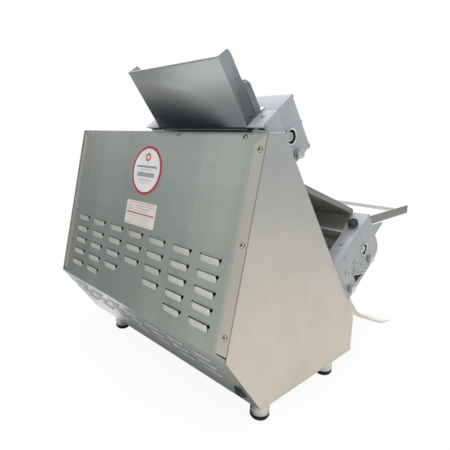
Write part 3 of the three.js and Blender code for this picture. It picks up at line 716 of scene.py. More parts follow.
def screw_head(centre, normal, radius, height, twist):
    """Pan head standing on centre along normal."""
    reference = Vector((1, 0, 0)) if abs(normal.x) < 0.9 else Vector((0, 1, 0))
    side1 = (reference - normal * reference.dot(normal)).normalized()
    side2 = normal.cross(side1)
    c, s = math.cos(twist), math.sin(twist)
    side1, side2 = side1 * c + side2 * s, side2 * c - side1 * s
    vertices, n = [], len(SCREW_GRID)
    for b in SCREW_GRID:
        for a in SCREW_GRID:
            # the square grid squeezed into a disc
            x, y = a * math.sqrt(1 - b * b / 2), b * math.sqrt(1 - a * a / 2)
            z = height * (1 - 0.62 * min(1, x * x + y * y) ** 1.6)
            if in_recess(a, b):
                z -= height * 0.62
            vertices.append(centre + side1 * x * radius + side2 * y * radius + normal * z)
    rim = (list(range(n)) + [j * n + n - 1 for j in range(1, n)]
           + [(n - 1) * n + i for i in range(n - 2, -1, -1)]
           + [j * n for j in range(n - 2, 0, -1)])
    base, count = len(vertices), len(rim)
    vertices += [vertices[i] - normal * ((vertices[i] - centre).dot(normal) + 0.3)
                 for i in rim]
    skirt = [[rim[(i + 1) % count], rim[i], base + i, base + (i + 1) % count]
             for i in range(count)]
    return vertices, grid_faces(n, n) + skirt


def screws(name, items, material="screw"):
    """items: (centre, normal, head radius, head height, twist)"""
    mesh = Mesh()
    for centre, normal, radius, height, twist in items:
        centre, normal = Vector(centre), Vector(normal).normalized()
        head = screw_head(centre, normal, radius, height, twist)
        mesh.add(head, RECESS_SLOTS + [0] * (len(head[1]) - len(RECESS_SLOTS)))
        # a dark ring under the head: painted shadow in the gap
        gap = [(0.2, 0.12), (radius + 0.55, 0.12), (radius + 0.7, 0.02), (radius + 0.7, -0.4)]
        mesh.add(lathe(gap, centre, normal, 28), 1)
    build(name, mesh, material + " dark", smooth=40)


# ------------------------------------------------------------------ rear cover with its louvres
# Places on a face are (x, distance down it, height off it)
SHEET_LENGTH = math.dist(TOP_REAR, REAR_BEND)
CHAMFER_LENGTH = math.dist(REAR_BEND, BASE_REAR)
COVER_HALF = 297.4          # half width to the rim
FLAT_HALF, FLAT_TOP = 276.0, 20.0    # where the raised flat field of the sheet begins
RIM_HEIGHT = -2.3
RIM_TOP, RIM_END = 0.9, SHEET_LENGTH - 7.6
BEND_RADIUS, BEND_STEPS = 3.0, 6
BEND_ANGLE = math.acos(SHEET_DOWN.dot(CHAMFER_DOWN))
BEND_REACH = BEND_RADIUS * math.tan(BEND_ANGLE / 2)
LOUVRE_HALF, COLUMN_PITCH, ROW_PITCH = 23.0, 75, 28
LOUVRE_COUNTS = [5, 5, 4, 3, 4, 5, 5]     # louvres down each column of the sheet
CHAMFER_LOUVRES = (27, 52, 78)            # rows on the chamfer, measured down it
# Right half of a louvre's opening: (beyond the blade's edge, towards the root)
SHEET_OPENING = [(0.4, 6.5), (0.4, -2.0), (3.6, -2.4), (3.9, -7.2), (3.2, -8.0),
                 (-0.6, -8.0), (-1.0, -6.7)]
CHAMFER_OPENING = [(0.35, 6.4), (0.35, -5.6), (-0.4, -6.9)]
# material slots of the cover
FACE, CHAMFER, BLADE, LOW_BLADE, EDGE = range(5)


def on_sheet(x, down, height=0.0):
    p = Vector((0, *TOP_REAR)) + SHEET_DOWN * down + SHEET_OUT * height
    return (x, p.y, p.z)


def on_chamfer(x, down, height=0.0):
    p = Vector((0, *REAR_BEND)) + CHAMFER_DOWN * down + CHAMFER_OUT * height
    return (x, p.y, p.z)


def louvre(mesh, x0, down0, low):
    """Add a blade joined at its root and lifted at its free edge; return its opening.

    The root is the lower end on the sheet, and the upper end on the chamfer (low).
    """
    at, turn, rise, opening = ((on_chamfer, -1, 3.4, CHAMFER_OPENING) if low
                               else (on_sheet, 1, 4.3, SHEET_OPENING))
    columns, rows = 12, 9
    across = [-1 + 2 * i / columns for i in range(columns + 1)]
    vertices = []
    for j in range(rows + 1):
        b = j / rows
        half = LOUVRE_HALF * (1 - 0.5 * max(0.0, b - 0.7) ** 2)
        for a in across:
            lift = rise * b ** 1.25 * (1 - 0.18 * abs(a) ** 8)
            vertices.append(at(x0 + a * half, down0 + turn * (6.9 - 13.1 * b), lift))
    faces = grid_faces(rows + 1, columns + 1)
    slots = []
    # the lifted rows of a blade take the lighter blade colour, a painted reflection
    for j in range(rows):
        for i in range(columns):
            if low:
                slots.append(CHAMFER if j < 5 else LOW_BLADE)
            else:
                at_root = j == 0 or (j == 1 and i in (0, columns - 1))
                slots.append(FACE if at_root else BLADE)
    mesh.add((vertices, flipped(faces) if low else faces), slots)
    root = [(x0 + a * LOUVRE_HALF, down0 + turn * 6.9) for a in across]
    right, left = ([(x0 + side * LOUVRE_HALF + side * beyond, down0 + turn * towards)
                    for beyond, towards in opening] for side in (1, -1))
    return root + right + left[::-1]


def face_grid(mesh, columns, rows, holes, at, slot):
    """A flat face as a grid of cells; holes: (column, row) -> outline."""
    for i in range(len(columns) - 1):
        for j in range(len(rows) - 1):
            cell = [(columns[i], rows[j]), (columns[i + 1], rows[j]),
                    (columns[i + 1], rows[j + 1]), (columns[i], rows[j + 1])]
            faces = [[3, 2, 1, 0]]
            if (i, j) in holes:
                cell, faces = tessellate([cell, holes[i, j]], -1)
            mesh.add(([at(p[0], p[1]) for p in cell], faces), slot)


def quad(points, at=None):
    return [at(*p) for p in points] if at else points, [[0, 1, 2, 3]]


cover = Mesh()
columns = [-FLAT_HALF, *((i - 3.5) * COLUMN_PITCH for i in range(8)), FLAT_HALF]
rows = [FLAT_TOP, *(202 + ROW_PITCH * k for k in range(6)), SHEET_LENGTH - 6]
holes = {}
for i, louvres in enumerate(LOUVRE_COUNTS):
    for k in range(louvres):
        holes[i + 1, k + 1] = louvre(cover, (i - 3) * COLUMN_PITCH, 216 + ROW_PITCH * k, False)
face_grid(cover, columns, rows, holes, on_sheet, FACE)

wide_columns = [-COVER_HALF, *columns, COVER_HALF]
chamfer_rows = [BEND_REACH, 13.5, 39.5, 65.0, 91.0, CHAMFER_LENGTH - 1.0]
holes = {}
for i in range(7):
    for k, down in enumerate(CHAMFER_LOUVRES):
        holes[i + 2, k + 1] = louvre(cover, (i - 3) * COLUMN_PITCH, down, True)
face_grid(cover, wide_columns, chamfer_rows, holes, on_chamfer, CHAMFER)

# slopes from the flat field to the dropped rim: top, then left and right; the side slopes take the
# flange colour, a painted reflection
rim_columns = [-COVER_HALF, *columns[1:-1], COVER_HALF]
for i in range(len(columns) - 1):
    cover.add(quad([(rim_columns[i], RIM_TOP, RIM_HEIGHT), (columns[i], FLAT_TOP, 0),
                    (columns[i + 1], FLAT_TOP, 0),
                    (rim_columns[i + 1], RIM_TOP, RIM_HEIGHT)], on_sheet))
flat_rows = rows[:-1] + [RIM_END]
rim_rows = [RIM_TOP, *rows[1:-1], RIM_END]
for j in range(len(flat_rows) - 1):
    for side in (-1, 1):
        slope = [(side * COVER_HALF, rim_rows[j], RIM_HEIGHT),
                 (side * COVER_HALF, rim_rows[j + 1], RIM_HEIGHT),
                 (side * FLAT_HALF, flat_rows[j + 1], 0), (side * FLAT_HALF, flat_rows[j], 0)]
        if side > 0:
            slope = [slope[0], *slope[:0:-1]]
        cover.add(quad(slope, on_sheet), EDGE)
# rim folded inwards
for side in (-1, 1):
    outer, inner = side * COVER_HALF, side * (COVER_HALF - 0.2)
    fold = [(outer, RIM_TOP, RIM_HEIGHT), (inner, RIM_TOP, RIM_HEIGHT - 9),
            (inner, RIM_END, RIM_HEIGHT - 9), (outer, RIM_END, RIM_HEIGHT)]
    cover.add(quad(fold if side < 0 else fold[::-1], on_sheet))
cover.add(quad([(-COVER_HALF, RIM_TOP, RIM_HEIGHT), (COVER_HALF, RIM_TOP, RIM_HEIGHT),
                (COVER_HALF, 0.6, RIM_HEIGHT - 14), (-COVER_HALF, 0.6, RIM_HEIGHT - 14)],
               on_sheet))

# dark strips between the cover rim and the side panels, painted shadow in the gap: side, top,
# bottom, outer height
rim_gap_shadow = Mesh()
for side, top, bottom, height in ((-1, 0.4, SHEET_LENGTH - 7.0, RIM_HEIGHT + 1.7),
                                  (1, 3.0, SHEET_LENGTH - 12.0, RIM_HEIGHT - 2.5)):
    inner, outer = side * (COVER_HALF - 0.15), side * (COVER_HALF + 1.75)
    strip = ((inner, top), (outer, top), (outer, bottom), (inner, bottom))
    rim_gap_shadow.add(([on_sheet(*p, h) for h in (height, RIM_HEIGHT - 6) for p in strip],
              block_faces(4)))
build("cover_gap_painted_shadow", rim_gap_shadow, "rubber", recalc=True)

# bend between the sheet and the chamfer
bend_start = SHEET_LENGTH - BEND_REACH
bend_centre = Vector(on_sheet(0, bend_start)) - SHEET_OUT * BEND_RADIUS
arc = []
for k in range(BEND_STEPS + 1):
    angle = BEND_ANGLE * k / BEND_STEPS
    around = SHEET_OUT * math.cos(angle) + SHEET_DOWN * math.sin(angle)
    arc.append(bend_centre + around * BEND_RADIUS)
spans = list(zip(wide_columns, wide_columns[1:]))
for x0, x1 in spans:
    cover.add(quad([(x0, SHEET_LENGTH - 6), (x0, bend_start), (x1, bend_start),
                    (x1, SHEET_LENGTH - 6)], on_sheet))


def cross_strip(a, b, x0, x1):
    """A quad between two (y, z) places of a profile."""
    return quad([(x0, a.y, a.z), (x0, b.y, b.z), (x1, b.y, b.z), (x1, a.y, a.z)])


for k in range(BEND_STEPS):
    for x0, x1 in spans:
        cover.add(cross_strip(arc[k], arc[k + 1], x0, x1), CHAMFER if k > 2 else FACE)
# foot of the chamfer, folded under the base
foot = Vector(on_chamfer(0, CHAMFER_LENGTH - 1.0))
under_near = Vector((0, foot.y - 3, foot.z - 0.6))
under_far = Vector((0, foot.y - 14, foot.z - 0.6))
for a, b in ((foot, under_near), (under_near, under_far)):
    cover.add(cross_strip(a, b, -COVER_HALF, COVER_HALF), CHAMFER)
cover.faces = flipped(cover.faces)
build("rear_cover_sheet", cover, "cover chamfer blade blade_low cover_edge",
      replaces="rear_cover", smooth=28, thick=1.1)

cover_screws = [(on_sheet(x, 9, -1.4), SHEET_OUT - SHEET_DOWN * 0.11, 4.4, 2.4, 0.4 + 0.7 * i)
                for i, x in enumerate((252, 84, -84, -252))]
for side, turn, start in ((-1, 0.9, 0.2), (1, 1.1, 0)):
    cover_screws += [(on_sheet(side * 287, down, -1.2), SHEET_OUT + Vector((side * 0.1, 0, 0)),
                      4.4, 2.4, turn * i + start) for i, down in enumerate((27, 177, 327))]
screws("cover_screws", cover_screws)


def plate(name, outline, x0, down0, material, thickness):
    """A thin plate on the cover sheet, its UV map in mm from its centre."""
    count = len(outline)
    vertices = [on_sheet(x0 + a, down0 - b, h) for h in (thickness, 0.02) for a, b in outline]
    data = bpy.data.meshes.new(name)
    data.from_pydata([tuple(c * MM for c in p) for p in vertices], [],
                     [list(range(count))[::-1]] + ring_faces(2, count))
    data.materials.append(material)
    uv = data.uv_layers.new(name="plate")
    for loop in data.loops:
        a, b = outline[loop.vertex_index % count]
        uv.data[loop.index].uv = (-a, b)
    bm = bmesh.new()
    bm.from_mesh(data)
    bmesh.ops.recalc_face_normals(bm, faces=bm.faces)
    bm.to_mesh(data)
    bm.free()
    obj = link(name, data)
    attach(obj, "housing")


plate("round_plate", circle((0, 0), 50, 96), -1, 81,
      plate_face("round_plate_face", 30, [(0.66, 0.66, 0.66), (0.76, 0.755, 0.75)],
                 ROUND_BARS, round_marks, Roughness=0.38, Coat_Weight=0.3,
                 Coat_Roughness=0.2), 0.45)
plate("rectangular_plate", rounded_rectangle(49.5, 22, radius=3.0, steps=6), -3.5, 171,
      plate_face("rectangular_plate_face", 40, [(0.60, 0.57, 0.55), (0.70, 0.67, 0.65)],
                 RECTANGLE_BARS, Roughness=0.4, Coat_Weight=0.25), 0.4)

# ------------------------------------------------------------------ side panels
for side, label in ((1, "right"), (-1, "left")):
    button_holes = [circle((BUTTON_Y, START_Z), 11.5, 36), circle((BUTTON_Y, STOP_Z), 15.5, 36)]
    vertices, faces = folded(HOUSING_OUTLINE, {0: 7.0, 1: 5.5, 2: 5.5, 3: 7.0}, 2.4,
                             (side * SIDE_X, 0, 0), (0, 1, 0), (0, 0, 1), (side, 0, 0), 5,
                             holes=button_holes if side > 0 else ())
    build(f"side_panel_{label}_sheet",
          Mesh((vertices, faces if side > 0 else flipped(faces))), "side",
          replaces=f"side_panel_{label}", smooth=26, thick=1.5)

# ------------------------------------------------------------------ feet, (radius, z) profiles
SLEEVE = [(0, 31.7), (16.8, 31.7), (18, 30.6), (18, 22), (17.4, 21.4), (17.4, 19.8),
          (18, 19.2), (18, 11.6), (17.2, 10.1), (0, 10.1)]
PAD = [(0, 9.9), (17.2, 9.9), (18.3, 9.3), (18.5, 8.2), (18.5, 6.4), (17.9, 6.0), (17.9, 5.2),
       (18.0, 4.8), (15.6, 1.0), (14.4, 0.0), (11, 0.0), (10.4, 0.9), (0, 0.9)]
for corner, x, y in (("front_left", -279, 27), ("front_right", 279, 27),
                     ("rear_left", -279, 242), ("rear_right", 200, 242)):
    build(f"foot_sleeve_{corner}_turned", Mesh(lathe(SLEEVE, (x, y, 0), (0, 0, 1), 56)),
          "shaft", replaces="foot_sleeve_" + corner, smooth=40, recalc=True)
    build(f"foot_pad_{corner}_moulded", Mesh(lathe(PAD, (x, y, 0), (0, 0, 1), 56)),
          "rubber", replaces="foot_pad_" + corner, smooth=40, recalc=True)

# ------------------------------------------------------------------ infeed chute
CHUTE_U = 87.2              # rear face of the chute in the upper head's frame
chute = folded([(-264, -115), (-35, -115), (-35, 2.0), (-264, 2.0)], {
    1: [(0.4, 23.2), (4.0, 25.6), (9.0, 27.2), (113.0, 27.2), (113.0, 2.0)],
    3: [(4.0, 2.0), (4.0, 27.2), (108.0, 27.2), (113.0, 25.6), (116.6, 23.2)],
}, 2.0, upper3(0, CHUTE_U, 0), X_AXIS, V_AXIS, U_AXIS, 5)
build("infeed_chute_sheet", Mesh(chute), "chute", replaces="infeed_chute",
      smooth=26, thick=1.2)
bent_strip("infeed_chute_foot", [upper(CHUTE_U, 1.0), upper(CHUTE_U, 5.2), upper(80.2, 13.6)],
           3.0, -1.2, -260.5, -37, "chute", steps=5)
HEM = [(86.6, -111.0), (84.9, -111.0), (84.9, -115.0), (87.6, -115.0), (87.6, -112.6)]
bent_strip("infeed_chute_hem", [upper(u, v) for u, v in HEM], 0.9, 0.5, -262, -37, "chute")

# ------------------------------------------------------------------ transfer chute
TRANSFER_TOP, TRANSFER_END = Vector((196, 441.8)), Vector((-85.5, 337.1))    # (y, z)
transfer_down = (TRANSFER_END - TRANSFER_TOP).normalized()
transfer_up = Vector((transfer_down.y, -transfer_down.x))
TRANSFER_LENGTH = (TRANSFER_END - TRANSFER_TOP).length


def on_transfer(down, height):
    p = TRANSFER_TOP + transfer_down * down + transfer_up * height
    return (p.x, p.y)


# the underside is the outer face; the sides fold up
transfer = folded(
    [(-258, 0), (146, 0), (146, TRANSFER_LENGTH), (-258, TRANSFER_LENGTH)],
    {1: [(2.0, 11.0), (TRANSFER_LENGTH - 4, 11.0), (TRANSFER_LENGTH, 9.0)],
     3: [(0, 9.0), (4, 11.0), (TRANSFER_LENGTH - 2.0, 11.0)]},
    1.6, (0, *on_transfer(0, 0)), X_AXIS, (0, *transfer_down), -Vector((0, *transfer_up)))
build("transfer_chute_sheet", Mesh(transfer), "tray", replaces="transfer_chute",
      smooth=26, thick=1.2)
tail = thicken([on_transfer(-26, 0.1), on_transfer(1, 0.1)], 1.1)
build("transfer_chute_tail", Mesh(prism(tail, -257, -37)), "tray", bevel=0.3,
      recalc=True)
LIP_START, LIP_BEND = TRANSFER_LENGTH - 16, TRANSFER_LENGTH - 6.6
bent_strip("transfer_chute_lip", [on_transfer(LIP_START, -0.1), on_transfer(LIP_BEND, -0.1),
                                  on_transfer(LIP_BEND, -6.5)],
           1.2, 1.0, -256, 144, "tray")
bent_strip("lower_feed_guard_sheet", [lower(3, -1.4), lower(60, -1.4), lower(60, 26)],
           2.0, 1.0, -260.5, 150, "guard")

# ------------------------------------------------------------------ front tray
vertices, faces = folded([(-270, -355.5), (128, -355.5), (128, -124.5), (-270, -124.5)], {
    0: 9.0,
    1: [(0.6, 22.0), (219, 22.0), (230, 12.5), (230, 1.6)],
    3: [(1, 1.6), (1, 12.5), (12, 22.0), (230.4, 22.0)],
}, 1.6, (0, 0, 304), (1, 0, 0), (0, 1, 0), (0, 0, -1))
build("front_tray_sheet", Mesh((vertices, flipped(faces))), "tray", "front_tray",
      "front_tray", smooth=26, thick=1.2)
pins = Mesh()
for x0, x1 in ((-276.5, -268.8), (126.8, 134.5)):
    length = x1 - x0
    pins.add(lathe([(0, 0), (1.4, 0), (1.7, 0.4), (1.7, length - 0.4), (1.4, length),
                    (0, length)], (x0, -128, 302), (1, 0, 0), 20))
LUG = [(-125, 304.6), (-125, 300), (-126.4, 298.4), (-129.6, 298.4), (-132, 300.6),
       (-132, 304.6)]
for x in (-270, 126.8):
    pins.add(prism(LUG, x, x + 1.2))
build("front_tray_pins", pins, "shaft", "front_tray", recalc=True)

# ------------------------------------------------------------------ discharge slide
# Stations down the slide: y, z, height of the side flange
SLIDE = [(-62, 158, 11), (-80, 132.7, 11), (-92.4, 116.5, 11), (-104.5, 103, 11),
         (-118, 89.5, 10), (-133, 78, 9), (-157, 65, 7), (-188.6, 51, 5), (-214, 38.5, 4),
         (-268, 14.5, 4), (-304, 5, 4), (-324, 3, 3)]
SLIDE_STEPS, SLIDE_RADIUS = 5, 1.5
curve = spline([(y, z) for y, z, _ in SLIDE], SLIDE_STEPS)
ups = [Vector((d.y, -d.x)) for d in directions(curve)]
flanges = []
for i in range(len(curve)):
    start = SLIDE[i // SLIDE_STEPS][2]
    end = SLIDE[min(len(SLIDE) - 1, i // SLIDE_STEPS + 1)][2]
    flanges.append(start + (end - start) * (i % SLIDE_STEPS) / SLIDE_STEPS)
halves = []
for side, edge in ((-1, -268.0), (1, 196.0)):
    half = [[(edge, p[0] + n.x * h, p[1] + n.y * h) for p, n, h in zip(curve, ups, flanges)]]
    for k in range(5):
        t = math.pi / 2 * (1 - k / 4)
        x = edge - side * SLIDE_RADIUS * (1 - math.sin(t))
        lift = 1 - math.cos(t)
        half.append([(x, p[0] + n.x * SLIDE_RADIUS * lift, p[1] + n.y * SLIDE_RADIUS * lift)
                     for p, n in zip(curve, ups)])
    halves.append(half)
strips = halves[0] + halves[1][::-1]
# faces turned towards the underside
build("discharge_slide_sheet",
      Mesh(([p for strip in strips for p in strip],
            flipped(grid_faces(len(strips), len(curve))))),
      "slide", replaces="discharge_slide", smooth=30, thick=1.2)
WEB = [(-60, 141), (-76.0, 138.4), (-92.6, 116.2), (-104.4, 103.2), (-117.8, 89.8), (-117, 84),
       (-47.4, 58), (-47.4, 106)]
TAB = [(-48.9, 66), (-47.2, 66), (-47.2, 102), (-48.9, 102)]
brackets = Mesh()
for x in (-240, 170):
    brackets.add(prism(WEB, x, x + 2))
    brackets.add(prism(TAB, x - 9, x + 1.0))
build("discharge_slide_brackets", brackets, "zinc", bevel=0.35, recalc=True)

# ------------------------------------------------------------------ rollers
UPPER_CHAIN_X, LOWER_CHAIN_X = 18, 176
upper_front = upper(35, UPPER_ROLLER_V)
upper_rear = upper(35 + ROLLER_PITCH, UPPER_ROLLER_V)
lower_front = lower(52.6, LOWER_ROLLER_V)
lower_rear = lower(52.6 + ROLLER_PITCH, LOWER_ROLLER_V)


def roller(name, centre, x0, x1, shaft_x0, shaft_x1, sprocket_x=None):
    width, shaft = x1 - x0, shaft_x1 - shaft_x0
    mesh = Mesh(lathe([(8, 0), (22.2, 0), (23.6, 0.5), (24, 1.8), (24, width - 1.8),
                       (23.6, width - 0.5), (22.2, width), (8, width)],
                      (x0, *centre), (1, 0, 0), 72))
    mesh.add(lathe([(0, 0), (7.2, 0), (8, 0.9), (8, shaft - 0.9), (7.2, shaft), (0, shaft)],
                   (shaft_x0, *centre), (1, 0, 0), 40), 1)
    if sprocket_x:
        teeth, tooth = 16, [17.2, 19.6, 20.0, 19.6]     # radii round one tooth
        points = []
        for i in range(teeth * 4):
            t, radius = 2 * math.pi * i / (teeth * 4), tooth[i % 4]
            points.append((centre[0] + radius * math.cos(t), centre[1] + radius * math.sin(t)))
        mesh.add(prism(points, sprocket_x - 1.6, sprocket_x + 1.6), 1)
        mesh.add(lathe([(8, 0), (12.5, 0), (12.5, 6), (8, 6)], (sprocket_x - 3, *centre),
                       (1, 0, 0), 32), 1)
    build(name + "_smooth", mesh, "roller shaft", name, name, recalc=True)


roller("upper_front_roller", upper_front, -261.4, -32.6, -278, -13.8)
roller("upper_rear_roller", upper_rear, -261.4, -32.6, -278, 24, UPPER_CHAIN_X)
roller("lower_front_roller", lower_front, -260.4, 149.4, -277, 168.2)
roller("lower_rear_roller", lower_rear, -260.4, 149.4, -277, 182, LOWER_CHAIN_X)

# ------------------------------------------------------------------ hubs in the left end boxes
HUB_RING = [(11.2, -6.0), (11.2, 0.9), (12.0, 1.8), (13.6, 2.1), (14.6, 1.5), (14.8, 0.4),
            (14.8, -6.0), (11.2, -6.0)]
# the floor under the stub is near black: painted shade in the hollow of the hub
HUB_FLOOR = [(0, 0), (11.1, 0), (11.1, -1.5), (0, -1.5)]
HUB_STUB = [(0, -2), (7.4, -2), (8.0, -1.4), (8.0, 3.4), (7.2, 4.2), (3.2, 4.2), (2.6, 2.4),
            (0, 2.4)]
caps = Mesh()
for name, centre in (("upper_hub_ring", upper_front), ("lower_hub_ring", lower_front)):
    build(name, Mesh(lathe(HUB_RING, (END_BOX_X, *centre), (-1, 0, 0), 56)), "shaft",
          smooth=40, recalc=True)
    caps.add(lathe(HUB_FLOOR, (-287.6, *centre), (-1, 0, 0)), 0)
    caps.add(lathe(HUB_STUB, (-287.6, *centre), (-1, 0, 0)), 1)
build("hub_inner_caps", caps, "dark shaft", recalc=True)

# ------------------------------------------------------------------ screws of the heads
head_screws = [(upper3(END_BOX_X, u, v), -X_AXIS, 3.0, 1.6, 0.5 * i)
               for i, (u, v) in enumerate(((80, 7), (62, 92)))]
head_screws += [(lower3(END_BOX_X, u, v), -X_AXIS, 3.0, 1.6, 0.7 * i)
                for i, (u, v) in enumerate(((172, 20), (120, 14), (66, 106)))]
# on the top edges: place, twist
head_screws += [(centre, -V_AXIS, 2.8, 1.5, twist) for centre, twist in (
    (upper3(-277, 60, 0), 0.3), (upper3(-12, 60, 0), 0.9), (lower3(-277, 100, 0), 0.2),
    (lower3(170, 100, 0), 1.2), (lower3(170, 160, 0), 0.1))]
screws("head_screws", head_screws)

# nuts, a clip and a dark patch low on the left end box, the patch painted shade
screws("lower_end_box_nuts", [
    (lower3(END_BOX_X, u, v), -X_AXIS, 4.4, 4.2, 0.4 * u)
    for u, v in ((130.9, 49.4), (103.6, 70.1), (74.0, 84.4), (96, 56))])
bent_strip("lower_end_box_clip", [lower(116, 70), lower(103, 84), lower(76.5, 106)],
           3.0, 2.4, -297.0, -292.9, "shaft")
patch = prism([lower(112, 80), lower(84, 106), lower(114, 101)], -293.7, -292.9)
build("lower_end_box_painted_shade", Mesh(patch), "dark", recalc=True)

front_screws = [(upper3(x, 0, v), -U_AXIS, 4.3, 5.4, 0.4 * v)
                for x in (-288, -4) for v in (5, 52, 100)]
front_screws += [(lower3(x, 0, v), -U_AXIS, 4.3, 5.0, 0.3 * v)
                 for x in (-288, 182) for v in (6, 50, 82)]
screws("front_cover_screws", front_screws, "screw_dark")

# ------------------------------------------------------------------ knobs
UPPER_KNOB = upper3(-27, 0, UPPER_ROLLER_V)
LOWER_KNOB = lower3(155, 0, LOWER_ROLLER_V)


def knob(name, origin, axis, radius, height, stem, stem_radius, lobes):
    """A lobed knob standing 4 mm off origin along axis, on a stem."""
    side = axis.cross(X_AXIS)
    base = origin + axis * 4
    segments = lobes * 12
    # height, share of the radius
    rings = [(0.0, 0.74), (0.6, 0.84), (2.0, 0.95), (4.2, 1.0), (height - 4.0, 1.0),
             (height - 1.8, 0.96), (height - 0.6, 0.88), (height - 0.05, 0.76),
             (height - 0.05, 0.52), (height - 1.0, 0.48), (height - 1.0, 0.30),
             (height - 0.2, 0.24), (height - 0.2, 0.001)]
    vertices = []
    for z, share in rings:
        # the lobes fade out towards the middle of the cap
        depth = 0.10 * min(1.0, max(0.0, (share - 0.5) / 0.4))
        for i in range(segments):
            t = 2 * math.pi * i / segments
            wave = 1 - (1 - math.cos(lobes * t)) ** 1.6 * 0.62
            r = radius * share * (1 + depth * wave) / (1 + depth)
            vertices.append(base + axis * z + X_AXIS * r * math.cos(t) + side * r * math.sin(t))
    faces = ring_faces(len(rings), segments) + [list(range(segments))[::-1]]
    mesh = Mesh((vertices, faces), lathe(
        [(0, -3.4), (radius * 0.46, -3.4), (radius * 0.5, -2.8), (radius * 0.5, 0.6),
         (0, 0.6)], base, axis, 32))
    mesh.add(lathe([(0, 0), (stem_radius, 0.3), (stem_radius, stem + 4), (0, stem + 4)],
                   origin - axis * stem, axis, 24), 1)
    build(name + "_moulded", mesh, "black shaft", name, name, smooth=42,
          recalc=True)


knob("upper_gap_knob", UPPER_KNOB, -U_AXIS, radius=19, height=14, stem=18.5, stem_radius=3.4,
     lobes=7)
knob("lower_gap_knob", LOWER_KNOB, -U_AXIS, radius=19, height=14, stem=32, stem_radius=3.4,
     lobes=7)
knob("clamp_knob", lower3(-278, 43, 0), -V_AXIS, radius=11.6, height=12.4, stem=8,
     stem_radius=3.6, lobes=6)

# dial rings with plain ticks round the two gap knobs
for name, centre in (("upper_gap_scale", UPPER_KNOB), ("lower_gap_scale", LOWER_KNOB)):
    axis = -U_AXIS
    side = axis.cross(X_AXIS)
    dial = Mesh(lathe([(6, 0.0), (21.5, 0.0), (22.2, 0.3), (22.2, 0.6), (21.5, 0.8), (6, 0.8)],
                      centre, axis, 64))
    for k in range(11):
        t = math.radians(-60 + 30 * k)
        radial = X_AXIS * math.cos(t) + side * math.sin(t)
        tangent = axis.cross(radial)
        tick = [centre + axis * 0.85 + radial * r + tangent * w
                for r, w in ((19.4, -0.35), (21.2, -0.35), (21.2, 0.35), (19.4, 0.35))]
        dial.add((tick + [p + axis * 0.12 for p in tick], block_faces(4)), 1)
    build(name, dial, "bezel dark", smooth=30, recalc=True)

# ------------------------------------------------------------------ controls on the right side
# name, material, z, (radius, outward) profile of the cap, outer end of the stem, segments
START_CAP = [(8, -6), (8, 0), (10.8, 0), (10.8, 1.6), (10.4, 2.4), (9.3, 2.9), (4, 3.0),
             (0, 3.0)]
STOP_CAP = [(8, -5), (14.0, -5), (14.8, -4), (14.8, 1.0), (14.2, 2.2), (12.6, 2.9), (6, 3.0),
            (0, 3.0)]
for name, colour, z, profile, stem_end, segments in (
        ("start_button", "green", START_Z, START_CAP, -5, 48),
        ("stop_button", "red", STOP_Z, STOP_CAP, -4, 56)):
    origin = (SIDE_X, BUTTON_Y, z)
    stem = [(0, -30), (7.8, -30), (7.8, stem_end), (0, stem_end)]
    build(name + "_cap", Mesh(lathe(profile, origin, (1, 0, 0), segments),
                              lathe(stem, origin, (1, 0, 0), 32)),
          colour, name, name, smooth=40, recalc=True)
screws("bezel_screws", [
    ((SIDE_X + 1.5, y, z), X_AXIS, 2.2, 1.0, 0.3 * i)
    for i, (y, z) in enumerate(((182, 295), (228, 295), (182, 373), (228, 373)))])

# ------------------------------------------------------------------ power inlet on the chamfer
inlet_origin = Vector(on_chamfer(-272, 116))


def on_inlet(x, down, height):
    return inlet_origin + X_AXIS * x + CHAMFER_DOWN * down + CHAMFER_OUT * height


inlet_outline = rounded_rectangle(7, 11, radius=2, steps=4)
# share of the outline, height off the chamfer
INLET_RINGS = [(1.0, 0.2), (1.0, 2.4), (0.93, 3.0), (0.66, 3.0), (0.64, 6.4), (0.60, 6.8),
               (0.48, 6.8), (0.46, 2.2), (0.02, 2.2)]
inlet = Mesh(([on_inlet(a * share, b * share, h) for share, h in INLET_RINGS
               for a, b in inlet_outline], ring_faces(len(INLET_RINGS), len(inlet_outline))))
for x, down in ((-2.2, 1.5), (0, -1.5), (2.2, 1.5)):
    inlet.add(lathe([(0, 2), (0.7, 2), (0.7, 5.4), (0, 5.6)], on_inlet(x, down, 0),
                    CHAMFER_OUT, 12), 1)
build("power_inlet_moulded", inlet, "black shaft", replaces="power_inlet",
      smooth=38, recalc=True)


# ------------------------------------------------------------------ chains of plates and pins
def chain(name, start, end, x):
    """A closed chain round two (y, z) centres."""
    start, end = Vector(start), Vector(end)
    run = end - start
    length, angle, radius = run.length, math.atan2(run.y, run.x), 23.4
    offset = Vector((math.sin(angle), -math.cos(angle))) * radius
    half_turn = math.pi * radius
    perimeter = 2 * length + 2 * math.pi * radius
    links = int(round(perimeter / 8.0))
    links -= links % 2

    def at(s):
        """The place a distance s round the loop."""
        s %= perimeter
        if s < length:
            return start + run / length * s + offset
        s -= length
        if s < half_turn:
            t = angle - math.pi / 2 + s / radius
            return end + Vector((math.cos(t), math.sin(t))) * radius
        s -= half_turn
        if s < length:
            return end - run / length * s - offset
        t = angle + math.pi / 2 + (s - length) / radius
        return start + Vector((math.cos(t), math.sin(t))) * radius

    mesh = Mesh()
    for i in range(links):
        s = perimeter * i / links
        here, there = at(s), at(s + perimeter / links)
        mesh.add(lathe([(0, 0), (1.6, 0), (1.6, 7.6), (0, 7.6)], (x - 3.8, here.x, here.y),
                       (1, 0, 0), 10))
        along = (there - here).normalized()
        across = Vector((-along.y, along.x))
        outline = []
        for centre, side in ((here, -1), (there, 1)):
            for k in range(5):
                t = math.pi * (k / 4 - 0.5)
                outline.append(centre + along * (side * math.cos(t) * 2.5)
                               + across * (side * math.sin(t) * 2.5))
        plate_x = 2.4 if i % 2 else 3.2
        for side in (-1, 1):
            middle = x + side * plate_x
            mesh.add(prism(outline, middle - 0.35, middle + 0.35))
    build(name + "_links", mesh, "drive", replaces=name, recalc=True)


